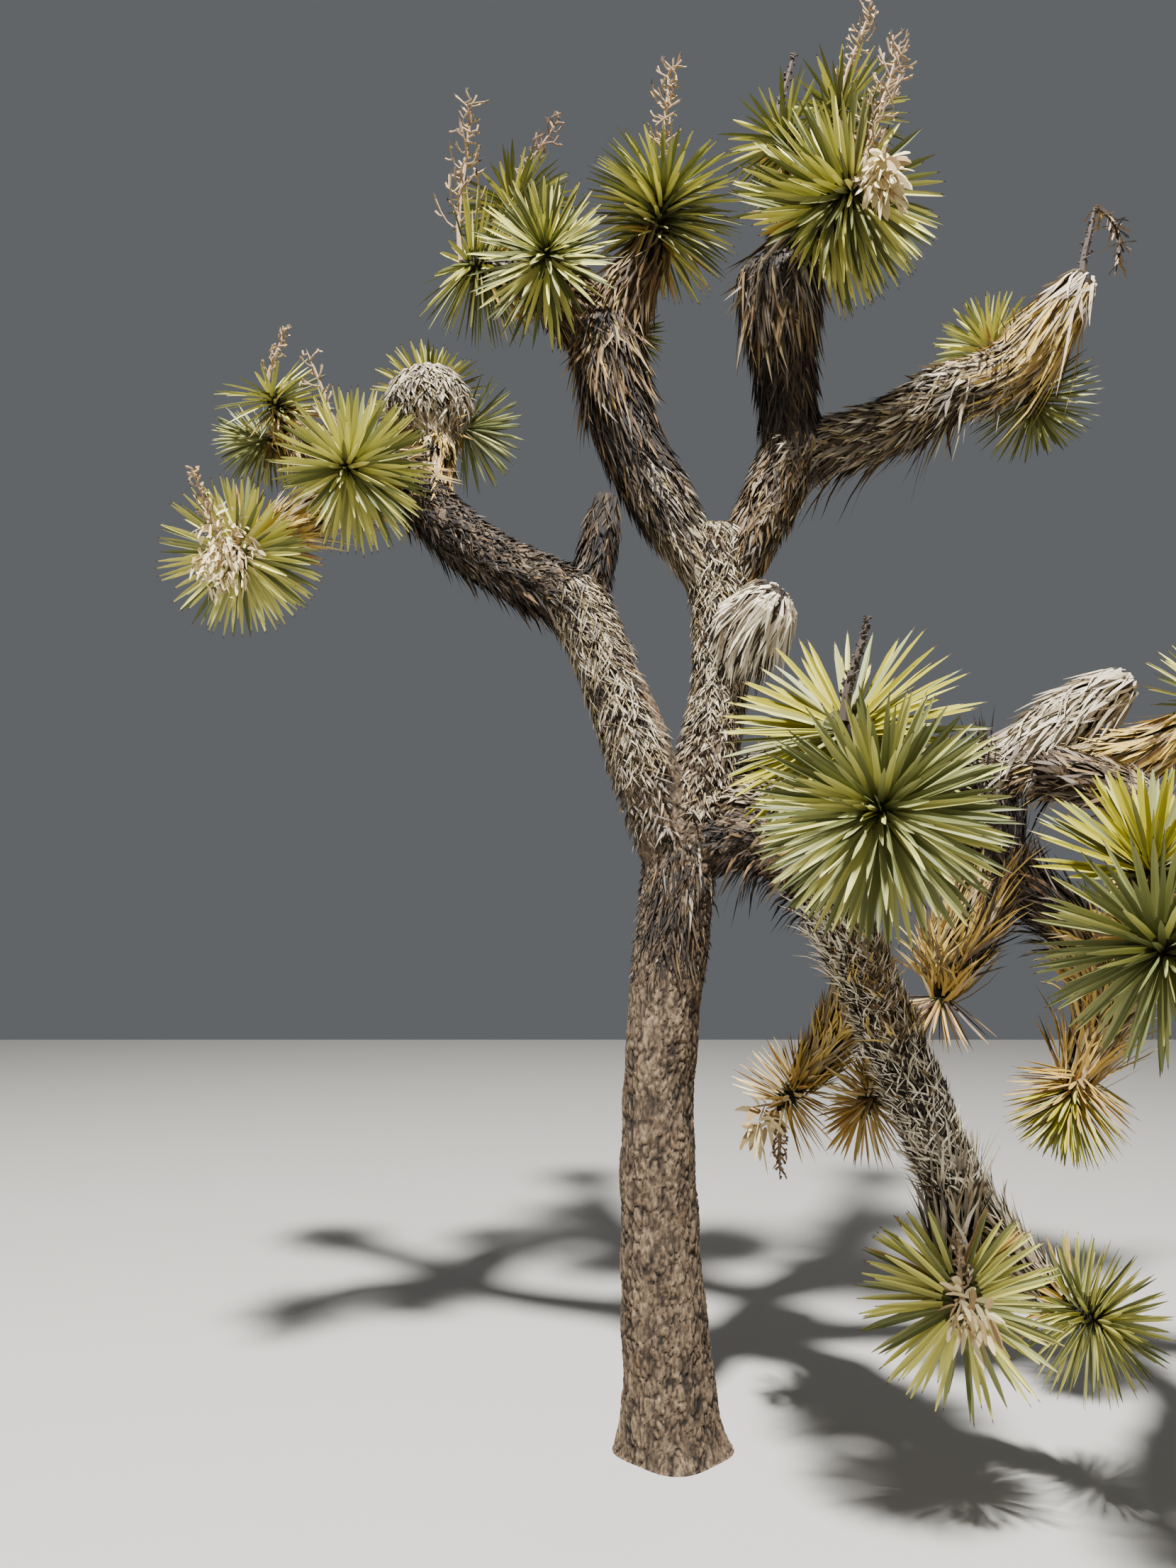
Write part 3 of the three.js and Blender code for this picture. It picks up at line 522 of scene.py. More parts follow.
def grow_limbs():
    limbs = {}
    for name, (on, at, via, tip, girth) in LIMBS.items():
        foot = read_line(limbs[on].line, "place", at) if on else np.array([0, 0, -FOOT_DEPTH * MM])
        line = make_line(limb_points(foot, metres(via), metres(tip)))
        limbs[name] = SimpleNamespace(line=line, girth=metres(girth))
    return limbs


def tone_of(name, tones, usual):
    """The tone whose list holds the rosette, or else the usual one."""
    return next((tone for tone, names in tones.items() if name in names), usual)


def grow_stems(limbs):
    stems = {}
    for name, (on, at, heart, faces, reach, leafy) in ROSETTES.items():
        axis = unit(np.array(faces, float))
        heart = metres(heart)
        foot = read_line(limbs[on].line, "place", at)
        bend = heart - axis * 0.5 * np.linalg.norm(heart - foot)
        line = make_line(stem_points(foot, bend, heart))
        foot_radius = min(along(limbs[on].girth, at) * 0.85, MM * (SKIRT_RADIUS + 10))
        core = MM * CORE_RADIUS_SHARE * reach
        stems[name] = SimpleNamespace(
            line=line,
            heart=heart,
            axis=axis,
            reach=MM * reach,
            core=core,
            leafy=min(MM * leafy / line.length, MOST_LEAFY),
            centre=heart - axis * 0.25 * MM * reach,
            girth=np.array([foot_radius, MM * SKIRT_RADIUS, core * 1.15]),
            tone=tone_of(name, LEAF_TONES, "sunny"),
            skirt=tone_of(name, SKIRT_TONES, "straw"),
        )
    return stems


def grow_stalks(limbs, stems):
    stalks = []
    for on, at, top, twigs, tone in FLOWER_STALKS:
        foot = stems[on].heart if on in stems else read_line(limbs[on].line, "place", at)
        top = metres(top)
        stalks.append(SimpleNamespace(on=on, foot=foot, top=top, twigs=twigs, tone=tone))
    return stalks


# Room that leaves keep


def obstacle_list(limbs, stems, stalks):
    """Lengths of limb, stem or stalk that leaves keep clear of: owners, starts, ends and radii."""
    rows = []

    def add_line(owner, line, girth, steps=6):
        for i in range(steps):
            a, b = i / steps, (i + 1) / steps
            radius = max(along(girth, a), along(girth, b))
            rows.append((owner, read_line(line, "place", a), read_line(line, "place", b), radius))

    for name, limb in limbs.items():
        add_line(name, limb.line, limb.girth)
    for name, stem in stems.items():
        add_line(name, stem.line, [MM * SKIRT_RADIUS, MM * SKIRT_RADIUS, stem.core])
    for stalk in stalks:
        length = np.linalg.norm(stalk.top - stalk.foot)
        rows.append((stalk.on, stalk.foot, stalk.top, STALK_TWIG_SHARE * 0.8 * length))
        rows.append((stalk.on + " stalk", stalk.foot, stalk.top, MM * STALK_FOOT))
    return [np.array(values) for values in zip(*rows)]


def leaves_clear(name, stems, obstacles, roots, tips):
    """Which leaves stay in their rosette's own space, and clear of every limb, stem and stalk."""
    own = stems[name]

    def room(share):
        return MM * (LEAF_CLEARANCE + LEAF_ROOT_ROOM * (1 - share))

    clear = tips[:, 2] >= MM * LEAF_CLEARANCE
    for other, neighbour in stems.items():
        if other == name:
            continue
        across = neighbour.centre - own.centre
        distance = np.linalg.norm(across)
        border = distance * own.reach / (own.reach + neighbour.reach)
        for points, share in ((tips, 1), (roots, 0)):
            clear &= (points - own.centre) @ (across / distance) <= border - room(share)
    owners, starts, ends, radii = obstacles
    foreign = owners != name
    starts, spans, radii = starts[foreign], (ends - starts)[foreign], radii[foreign]
    lengths = np.maximum((spans**2).sum(1), 1e-12)
    for share in LEAF_PROBES:
        probes = roots + (tips - roots) * share
        offsets = probes[:, None] - starts
        nearest = np.clip((offsets * spans).sum(2) / lengths, 0, 1)
        apart = np.linalg.norm(offsets - nearest[..., None] * spans, axis=2)
        clear &= (apart > radii + room(share)).all(1)
    return clear


# Joined meshes of blades and twigs


def new_mesh(name, points, faces):
    made = bpy.data.meshes.new(name)
    made.from_pydata(points, [], faces)
    return made


def place_object(name, data):
    """Puts a mesh, light or camera in the scene."""
    placed = bpy.data.objects.new(name, data)
    bpy.context.scene.collection.objects.link(placed)
    return placed


def sweep(paths, ups, widths, section):
    """Closed blades or twigs: a section carried along each path and drawn to a point at its end.

    Returns the points, the triangles, and the number of the blade and of the stretch of each triangle.
    """
    count, stations = paths.shape[:2]
    section = np.array(section)
    sides = len(section)
    directions = unit(np.gradient(paths, axis=1))
    across = unit(np.cross(directions, ups[:, None]))
    above = np.cross(across, directions)
    size = widths[:, :-1, None, None]
    rings = (
        paths[:, :-1, None]
        + across[:, :-1, None] * section[:, 0][:, None] * size
        + above[:, :-1, None] * section[:, 1][:, None] * size
    )
    points = np.concatenate([rings.reshape(count, -1, 3), paths[:, -1:]], axis=1)
    faces, stretches = [], []
    tip = (stations - 1) * sides
    for k in range(1, sides - 1):
        faces.append((0, k, k + 1))
        stretches.append(0)
    for row in range(stations - 2):
        for k in range(sides):
            a, b = row * sides + k, row * sides + (k + 1) % sides
            faces += [(a, b + sides, b), (a, a + sides, b + sides)]
            stretches += [row, row]
    for k in range(sides):
        faces.append((tip - sides + k, tip, tip - sides + (k + 1) % sides))
        stretches.append(stations - 2)
    faces = np.array(faces)
    shifted = faces[None] + (np.arange(count) * (tip + 1))[:, None, None]
    numbers = np.repeat(np.arange(count), len(faces))
    return points.reshape(-1, 3), shifted.reshape(-1, 3), numbers, np.tile(stretches, count)


class Heap:
    """Blades of one piece, gathered up before they are joined in a mesh."""

    def __init__(self, colours):
        self.colours = list(colours)
        self.points, self.faces, self.tones = [], [], []
        self.total = 0

    def add(self, paths, ups, widths, section, tones, ends=None, feet=None):
        """Blades, with a colour's number for each, and others for their last and first stretches.

        The direction above, the widths and the number are given once if they are the same for all.
        """
        count, stations = paths.shape[:2]
        ups = np.broadcast_to(ups, (count, 3))
        widths = np.broadcast_to(widths, (count, stations))
        points, faces, numbers, stretches = sweep(paths, ups, widths, section)
        colours = np.broadcast_to(tones, count)[numbers]
        if ends is not None:
            colours = np.where(stretches == stretches.max(), ends, colours)
        # the first stretches take a colour of their own; on leaves it is a painted shade
        if feet is not None:
            colours = np.where(stretches == 0, feet, colours)
        self.points.append(points)
        self.faces.append(faces + self.total)
        self.tones.append(colours)
        self.total += len(points)

    def deal(self, random, tone, count):
        """A colour's number for each blade, dealt by the tone's shares."""
        names = list(TONES[tone])
        shares = np.array([TONES[tone][name] for name in names], float)
        numbers = np.array([self.colours.index(name) for name in names])
        return random.choice(numbers, size=count, p=shares / shares.sum())

    def mesh(self, name, materials):
        made = new_mesh(name, np.vstack(self.points).tolist(), np.vstack(self.faces).tolist())
        for colour in self.colours:
            made.materials.append(materials[colour])
        made.polygons.foreach_set("material_index", np.concatenate(self.tones).astype(np.int32))
        made.update()
        return place_object(name, made)


def wedge_path(roots, headings, lengths, shares, sag):
    """Straight paths that sag a little by their own weight."""
    t = np.array(shares)[None, :, None]
    straight = roots[:, None] + headings[:, None] * lengths[:, None, None] * t
    return straight - UP * (sag * lengths)[:, None, None] * t**2


def core_radius(stem, age):
    """The radius of a rosette's leafy core, which narrows toward the youngest leaves."""
    return stem.core * (0.16 + 0.84 * np.sin(math.pi / 2 * np.minimum(1, 1.7 * age)))


def leaf_headings(stem, age, ahead, outward, random):
    """Where leaves point: close to the stem's own direction while they are young, and back when old."""
    jitter = np.radians(LEAF_JITTER) * random.uniform(-1, 1, (2, len(age)))
    least, most = SPREADS.get(stem.tone, LEAF_SPREAD)
    opening = np.radians(least + (most - least) * age**LEAF_OPENING) + jitter[0]
    opening = np.where(age < SPEAR_AGE, opening * age / SPEAR_AGE, opening)
    sideways = np.cross(ahead, outward)
    return unit(
        ahead * np.cos(opening)[:, None]
        + outward * np.sin(opening)[:, None]
        + sideways * np.sin(jitter[1])[:, None]
    )


def fit_lengths(name, stems, obstacles, roots, headings, full):
    """The longest share of each leaf's full length that stays clear, or 0 where none does."""
    lengths = np.zeros(len(full))
    for part in LENGTH_TRIES:
        waiting = np.flatnonzero(lengths == 0)
        if not len(waiting):
            break
        tips = roots[waiting] + headings[waiting] * (full[waiting] * part)[:, None]
        fits = leaves_clear(name, stems, obstacles, roots[waiting], tips)
        lengths[waiting[fits]] = full[waiting[fits]] * part
    return lengths


def leaf_tones(heap, stem, age, random):
    """A colour's number for each leaf. The oldest leaves are turning."""
    tones = heap.deal(random, stem.tone, len(age))
    turning_age = TURNING_AGE.get(stem.tone, USUAL_TURNING_AGE)
    aged = random.random(len(age)) < np.clip((age - turning_age) * 3.2, 0, 0.8)
    return np.where(aged, heap.deal(random, "aged", len(age)), tones)


def rosette_leaves(heap, name, stems, obstacles, seed):
    """The living leaves of a rosette, set by the golden angle from the youngest at the tip."""
    stem = stems[name]
    random = np.random.default_rng(seed)
    leafy = stem.leafy * stem.line.length
    count = int(leafy / (MM * LEAF_SPACING) * (stem.reach / (MM * USUAL_REACH)) ** 0.5)
    index = np.arange(count)
    age = (index + 0.5) / count
    share = 1 - stem.leafy * age**LEAF_CROWDING
    roots, outward = round_line(stem.line, share, index * GOLDEN_ANGLE, core_radius(stem, age) * 0.8)
    ahead = read_line(stem.line, "direction", share)
    headings = leaf_headings(stem, age, ahead, outward, random)
    full = (stem.reach - stem.core) * along(LEAF_LENGTHS, age) * (0.93 + 0.07 * random.random(count))
    full = np.where(age < SPEAR_AGE, np.minimum(full, SPEAR_SHARE * stem.reach * 1.05), full)
    lengths = fit_lengths(name, stems, obstacles, roots, headings, full)
    roots, headings, age, lengths = (values[lengths > 0] for values in (roots, headings, age, lengths))
    count = len(lengths)
    stations, shape = np.array(LEAF_STATIONS).T
    paths = wedge_path(roots, headings, lengths, stations, 0.03 + 0.05 * age)
    ups = unit(stem.axis - headings * (headings @ stem.axis)[:, None] + 1e-3)
    ups = unit(ups + random.normal(0, 0.22, (count, 3)))
    widths = LEAF_WIDTH_SHARE * stem.reach * random.uniform(0.82, 1.12, count)
    widths = widths * (0.75 + 0.25 * np.minimum(1, 6 * age))
    tones = leaf_tones(heap, stem, age, random)
    # foot is the colour of the painted shade on each leaf's first stretch
    spine, foot = (heap.colours.index(colour) for colour in ("leaf_spine", "leaf_foot"))
    heap.add(paths, ups, widths[:, None] * shape, LEAF_SECTION, tones, spine, foot)


def coat_blades(heap, line, girth, plan, seed, inner=BARE_SHARE):
    """Dead leaves that lie back along a limb or stem, over each other, and hang where they come loose."""
    random = np.random.default_rng(seed)
    low, high = (MM * v for v in plan.length)
    width = MM * plan.width
    start, end = plan.start, plan.end
    end = end if end < 1 else 1 + 0.97 * cap_length(line, girth)
    area = math.tau * along(girth, (start + end) / 2) * line.length * (end - start)
    count = int(plan.layers * area / (width * (low + high) / 2))
    share = start + (end - start) * (np.arange(count) + random.random(count)) / count
    angle = random.uniform(0, math.tau, count)
    if plan.side:
        _, outward = round_line(line, share, angle, np.zeros(count))
        covered = outward @ unit(np.array(plan.side, float)) > plan.least
        share, angle = share[covered], angle[covered]
        count = len(share)
    lengths = random.uniform(low, high, count)
    turn = random.normal(0, plan.stray, count) * lengths / along(girth, share)
    loose = random.random(count) ** 1.8
    stations, shape = np.array(DEAD_STATIONS).T
    t = (stations if high > MM * SHORT_BLADE else np.array([0, 0.5, 1.0]))[None]
    back = share[:, None] - lengths[:, None] * t / line.length
    around = angle[:, None] + turn[:, None] * t
    stand_off = plan.lift * loose[:, None] * lengths[:, None] * 0.45 * t**1.5
    base = envelope(line, girth, back) * (inner + (1 - inner) * t**0.6)
    paths, outward = round_line(line, back, around, base + stand_off)
    free = np.clip(0.55 - outward[:, :1, 2], 0.05, 1.4)
    hanging = plan.hang * free * (0.4 + loose[:, None]) * lengths[:, None] * t**2
    paths = paths - UP * hanging[..., None]
    ups = unit(outward[:, 1] + random.normal(0, 0.4, (count, 3)))
    widths = width * random.uniform(0.6, 1.25, count)[:, None] * np.interp(t[0], stations, shape)
    heap.add(paths, ups, widths, DEAD_SECTION, heap.deal(random, plan.tone, count))


def stem_coat(stem):
    """The dead leaves under a rosette, longest just below its living leaves."""
    end, lengths, width, layers, lift, hang, stray = SKIRTS.get(stem.tone, USUAL_SKIRT)
    reach = stem.reach / MM
    end = end or 1 - stem.leafy * 0.62
    lengths = tuple(share * reach for share in lengths)
    return Coat(0.05, end, lengths, width * reach, layers, stem.skirt, lift, hang, stray=stray)


def stem_core(heap, stem, colour):
    """The stem itself, in a near-black colour that paints the shade under its leaves."""
    shares = np.linspace(0, 0.985, 12)
    radius = np.where(
        shares < 1 - stem.leafy,
        along(stem.girth, np.clip(shares / (1 - stem.leafy), 0, 1)) * 0.8,
        core_radius(stem, (1 - shares) / stem.leafy) * 0.92,
    )
    path = read_line(stem.line, "place", np.append(shares, 1.0))[None]
    section = [(math.cos(a * math.tau / 10), math.sin(a * math.tau / 10)) for a in range(10)]
    heap.add(path, stem.line.normal[0], np.append(radius, 0), section, heap.colours.index(colour))


def curled_twigs(feet, out, axis, reach, random):
    """Twigs that leave a stalk, rise and curl."""
    steps = np.array([0, 0.22, 0.45, 0.68, 0.88, 1])[None, :, None]
    rise = random.uniform(0.0, 0.7, len(feet))[:, None, None]
    curl = random.uniform(-0.5, 0.5, len(feet))[:, None, None]
    swing = np.cross(axis, out)[:, None]
    return feet[:, None] + reach[:, None, None] * (
        out[:, None] * (steps * 0.95 - 0.15 * steps**3)
        + axis * (rise * steps + 0.5 * steps**2.5)
        + swing * curl * np.sin(math.pi * steps * 1.3)
    )


def stalk_petals(heap, twigs, tone, random):
    """Papery scraps of petals at the ends of twigs."""
    count = len(twigs)
    headings = unit(unit(twigs[:, -1] - twigs[:, -2]) + random.normal(0, 0.8, (count, 3)))
    lengths = MM * random.uniform(12, 24, count) * (0.6 if tone == "charred" else 1.0)
    paths = wedge_path(twigs[:, -2], headings, lengths, (0, 0.4, 0.8, 1), 0.25)
    widths = MM * random.uniform(6, 10, count)[:, None] * np.array([0.5, 1, 0.7, 0])
    tones = heap.deal(random, "petals" if tone == "bleached" else tone, count)
    ups = unit(np.cross(headings, random.normal(size=(count, 3))))
    heap.add(paths, ups, widths, DEAD_SECTION, tones)


def flower_stalk(heap, stalk, seed):
    """A dried stalk with curling twigs set by the golden angle, and the papery scraps at their ends."""
    random = np.random.default_rng(seed)
    charred = stalk.tone == "charred"
    length = np.linalg.norm(stalk.top - stalk.foot)
    axis = unit(stalk.top - stalk.foot)
    side = unit(np.cross(axis, [0.3, 1.0, 0.2]))
    front = np.cross(axis, side)

    def on_stalk(share):
        bow = 0.03 * length * np.sin(math.pi * share) + 0.012 * length * np.sin(7 * share)
        return stalk.foot + axis * (share * length)[:, None] + side * bow[:, None]

    t = np.linspace(0, 1, 10)
    widths = MM * (1.5 if charred else 0.85) * np.interp(t, [0, 0.7, 0.97, 1], [20, 12, 8, 0])
    tone = heap.deal(random, stalk.tone, 1)
    heap.add(on_stalk(t)[None], front, widths, TWIG_SECTION, tone)
    count = stalk.twigs
    index = np.arange(count)
    share = 0.2 + 0.78 * (index + 0.5) / count
    turn = index * GOLDEN_ANGLE + random.normal(0, 0.3, count)
    out = side * np.cos(turn)[:, None] + front * np.sin(turn)[:, None]
    reach = 1.35 * STALK_TWIG_SHARE * length * random.uniform(0.45, 1.0, count) * (1.2 - 0.62 * share)
    reach = reach * (0.42 if charred else 1.0)
    twigs = curled_twigs(on_stalk(share), out, axis, reach, random)
    widths = metres([9, 6.5, 5.5, 6, 8.5, 0]) * random.uniform(0.75, 1.2, count)[:, None]
    burnt = heap.colours.index("stalk_charred")
    heap.add(twigs, axis, widths, TWIG_SECTION, tone, burnt)
    headings = unit(random.normal(size=(count, 3)) + out + axis)
    lengths = reach * random.uniform(0.3, 0.55, count)
    spurs = wedge_path(twigs[:, 2:4].mean(1), headings, lengths, (0, 0.5, 0.9, 1), -0.4)
    heap.add(spurs, axis, metres([6.5, 5.5, 8, 0]), TWIG_SECTION, tone, burnt)
    stalk_petals(heap, twigs[::2], stalk.tone, random)
    if stalk.on in BENT_TOPS:
        bent_top(heap, stalk, tone, random)


def bent_top(heap, stalk, tone, random, count=70):
    """The withered head of a stalk, which has bent over and hangs with its scraps."""
    over, down = (MM * v for v in BENT_TOPS[stalk.on])
    t = np.linspace(0, 1, 8)
    path = stalk.top + np.stack([over * np.sin(t * 2.2), 0 * t, -0.02 * t - down * t**1.6], axis=1)
    heap.add(path[None], (0, 1.0, 0), MM * np.linspace(20, 6, 8), TWIG_SECTION, tone)
    share = random.random(count)
    roots = np.stack([np.interp(share, t, path[:, i]) for i in range(3)], axis=1)
    headings = unit(random.normal(size=(count, 3)) - 0.5 * UP)
    paths = wedge_path(roots, headings, MM * random.uniform(25, 65, count), (0, 0.5, 0.85, 1), 0.3)
    tones = heap.deal(random, "pale_scraps", count)
    heap.add(paths, UP + 0.01, metres([6, 5, 8, 0]), DEAD_SECTION, tones)


def flower_remains(heap, stem, plan, seed):
    """Papery petals, dry and folded, in a heap before a rosette's heart."""
    count, reach, spread = plan
    random = np.random.default_rng(seed)
    offsets = unit(random.normal(size=(count, 3))) * random.random((count, 1)) ** 0.5 * (1, 1, 1.4)
    centre = stem.heart + stem.axis * (0.04 + 0.6 * MM * spread) + UP * 0.5 * MM * spread
    roots = centre + MM * spread * offsets
    headings = unit(random.normal(size=(count, 3)) + 0.7 * offsets + 0.3 * stem.axis - 0.6 * UP)
    lengths = MM * reach * random.uniform(0.45, 1.0, count)
    paths = wedge_path(roots, headings, lengths, (0, 0.3, 0.65, 0.9, 1), 0.35)
    widths = MM * reach * random.uniform(0.16, 0.3, count)[:, None] * np.array([0.5, 1, 0.9, 0.5, 0])
    ups = unit(np.cross(headings, random.normal(size=(count, 3))))
    heap.add(paths, ups, widths, DEAD_SECTION, heap.deal(random, "petals", count))


# Bark


def tube(line, girth, share, sides, flared):
    """A limb's closed skin: rings of points along it, a flat foot and a rounded tip."""
    count = max(6, int(line.length / BARK_RING_STEP))
    shares = np.linspace(0, 1, count)
    angles = np.linspace(0, math.tau, sides, endpoint=False)
    at, around = np.meshgrid(shares, angles, indexing="ij")
    radius = along(girth, at) * share
    if flared:
        radius = radius + flare_radius(read_line(line, "place", at)[..., 2], around)
    points, _ = round_line(line, at, around, radius)
    apex = line.place[-1] + line.direction[-1] * girth[-1] * CAP_SHARE
    points = np.vstack([points.reshape(-1, 3), line.place[:1], apex[None]])
    faces = []
    foot, tip = count * sides, count * sides + 1
    for row in range(count - 1):
        for k in range(sides):
            a, b = row * sides + k, row * sides + (k + 1) % sides
            faces.append((a, b, b + sides, a + sides))
    for k in range(sides):
        next_k = (k + 1) % sides
        faces.append((foot, next_k, k))
        faces.append((tip, (count - 1) * sides + k, (count - 1) * sides + next_k))
    return points, faces


def limb_skins(limbs, names, sides):
    """The skins of several limbs in one mesh."""
    points, faces, total = [], [], 0
    for name in names:
        share = TRUNK_SHARE if name == "trunk" else BARE_SHARE
        skin, panels = tube(limbs[name].line, limbs[name].girth, share, sides, name == "trunk")
        points.append(skin)
        faces += [tuple(i + total for i in face) for face in panels]
        total += len(skin)
    return new_mesh("limb_skins", np.vstack(points).tolist(), faces)


def fuse(mesh, voxel):
    """One closed skin round overlapping ones."""
    shell = place_object("shell", mesh)
    remesh = shell.modifiers.new("fuse", "REMESH")
    remesh.mode = "VOXEL"
    remesh.voxel_size = voxel
    remesh.use_smooth_shade = True
    ready = shell.evaluated_get(bpy.context.evaluated_depsgraph_get())
    fused = bpy.data.meshes.new_from_object(ready)
    bpy.data.objects.remove(shell)
    return fused


def limb_finder(limbs, names):
    """What finds the nearest station of any of these limbs."""
    tree = kdtree.KDTree(len(names) * STATIONS)
    for i, name in enumerate(names):
        for k, place in enumerate(limbs[name].line.place):
            tree.insert(Vector(place), i * STATIONS + k)
    tree.balance()
    return tree


def vertex_vectors(mesh, key="co"):
    """The places of a mesh's vertices, or their normals."""
    values = np.zeros(len(mesh.vertices) * 3)
    mesh.vertices.foreach_get(key, values)
    return values.reshape(-1, 3)


def keep_relief(mesh, depths):
    """Keeps the bark's depth at each vertex, for its colour."""
    guide = mesh.attributes.new("relief", "FLOAT", "POINT")
    guide.data.foreach_set("value", depths.astype(np.float32))


def move_vertices(mesh, points):
    mesh.vertices.foreach_set("co", points.ravel())
    mesh.update()


def plate_relief(spot):
    """How high the bark stands at a spot of its pattern: about 1 on a plate, and far less in a fissure."""
    coarse, _ = noise.voronoi(spot)
    gap = min(1.0, (coarse[1] - coarse[0]) / 0.22)
    shut = 0.3 + 0.8 * noise.noise(spot * 0.8 + Vector((9, 3, 5)))
    fine, _ = noise.voronoi(spot * 2.3)
    chip = min(1.0, (fine[1] - fine[0]) / 0.35)
    return 0.55 * max(gap, min(shut, 0.9)) + 0.2 * chip + 0.12 + 0.3 * noise.noise(spot * 0.5)


def relieve_bark(mesh, limbs, names):
    """Sinks fissures between plates whose edges wander, keeps their depth, and finds each vertex's limb."""
    noise.seed_set(SEEDS["bark"])
    tree = limb_finder(limbs, names)
    points, normals = vertex_vectors(mesh), vertex_vectors(mesh, "normal")
    relief = np.zeros(len(points))
    owner = np.zeros(len(points), int)
    lines = [limbs[name].line for name in names]
    for i, point in enumerate(points):
        _, found, _ = tree.find(point)
        number, station = divmod(found, STATIONS)
        line = lines[number]
        offset = point - line.place[station]
        place = line.length * station / (STATIONS - 1) + offset.dot(line.direction[station])
        across = offset.dot(line.normal[station])
        around = offset.dot(line.binormal[station])
        bend = 0.8 * noise.noise_vector((across * 34, around * 34, place * 20))
        spot = Vector((across / PLATE_WIDTH, around / PLATE_WIDTH, place / PLATE_LENGTH + number * 7)) + bend
        relief[i] = plate_relief(spot)
        owner[i] = number
    lumps = np.array([noise.noise(Vector(point * 7.0)) for point in points])
    height = (relief - 0.8) * PLATE_RELIEF + lumps * LUMP_RELIEF
    height = np.where(points[:, 2] < 2 * BARK_VOXEL, np.minimum(height, 0), height)
    points = points + normals * height[:, None]
    points[:, 2] = np.maximum(points[:, 2], 0)
    keep_relief(mesh, relief)
    move_vertices(mesh, points)
    return owner


def flatten_foot(mesh):
    """Brings the foot of the fused skin up to the ground, where the trunk is cut flat."""
    points = vertex_vectors(mesh)
    points[:, 2] = np.maximum(points[:, 2], 0)
    move_vertices(mesh, points)


def part_of(mesh, name, keep):
    """The faces of a mesh whose first corner is kept, as a piece of their own."""
    corners = np.zeros(len(mesh.loops), int)
    mesh.loops.foreach_get("vertex_index", corners)
    starts = np.zeros(len(mesh.polygons), int)
    mesh.polygons.foreach_get("loop_start", starts)
    faces = [corners[a:b] for a, b in zip(starts, [*starts[1:], len(corners)])]
    faces = [face for face in faces if keep[face[0]]]
    used = np.unique(np.concatenate(faces))
    new_number = np.full(len(mesh.vertices), -1)
    new_number[used] = np.arange(len(used))
    relief = np.zeros(len(mesh.vertices), np.float32)
    mesh.attributes["relief"].data.foreach_get("value", relief)
    faces = [new_number[face].tolist() for face in faces]
    made = new_mesh(name, vertex_vectors(mesh)[used].tolist(), faces)
    keep_relief(made, relief[used])
    made.polygons.foreach_set("use_smooth", np.ones(len(made.polygons), bool))
    made.update()
    return place_object(name, made)


# Materials


def linear(colour):
    """Linear red, green, blue and alpha of an sRGB hex colour."""
    shares = [int(colour[i : i + 2], 16) / 255 for i in (1, 3, 5)]
    return [c / 12.92 if c <= 0.04045 else ((c + 0.055) / 1.055) ** 2.4 for c in shares] + [1.0]


def add_node(tree, kind, settings=None, inputs=None):
    """Adds a node with its settings. Each input is a value, or another node's output to link to."""
    node = tree.nodes.new(kind)
    for key, value in (settings or {}).items():
        setattr(node, key, value)
    for key, value in (inputs or {}).items():
        if isinstance(value, bpy.types.NodeSocket):
            tree.links.new(value, node.inputs[key])
        else:
            node.inputs[key].default_value = value
    return node


def new_material(name):
    material = bpy.data.materials.new(name)
    material.use_nodes = True
    material.node_tree.nodes.clear()
    return material, material.node_tree


def finish_surface(tree, inputs):
    shader = add_node(tree, "ShaderNodeBsdfPrincipled", inputs=inputs)
    add_node(tree, "ShaderNodeOutputMaterial", inputs={"Surface": shader.outputs["BSDF"]})


def plain_surface(name, colour, finish):
    material, tree = new_material(name)
    finish_surface(tree, {"Base Color": linear(colour), **finish})
    return material


def waxy_leaf(name, colour):
    """Living dagger leaf with a thin waxy skin: a soft, broad shine over plain colour."""
    return plain_surface(name, colour, {"Roughness": 0.6, "IOR": 1.4})


def dry_leaf(name, colour):
    """Dead leaf fibre, bleached by sun: dull, with hardly any shine."""
    return plain_surface(name, colour, {"Roughness": 0.82, "IOR": 1.4})


def add_grain(tree, vector, size, detail, roughness=0.5):
    inputs = {"Vector": vector, "Scale": 1 / size, "Detail": detail, "Roughness": roughness}
    return add_node(tree, "ShaderNodeTexNoise", inputs=inputs).outputs["Fac"]


def spread_value(tree, value, low, high, least, most):
    """A value that lies from low to high, spread from least to most."""
    inputs = {"Value": value, "From Min": low, "From Max": high, "To Min": least, "To Max": most}
    return add_node(tree, "ShaderNodeMapRange", inputs=inputs).outputs["Result"]


def multiply_colours(tree, factor, first, second):
    settings = {"data_type": "RGBA", "blend_type": "MULTIPLY"}
    first_socket, second_socket, result = 6, 7, 2
    inputs = {"Factor": factor, first_socket: first, second_socket: second}
    return add_node(tree, "ShaderNodeMix", settings, inputs).outputs[result]


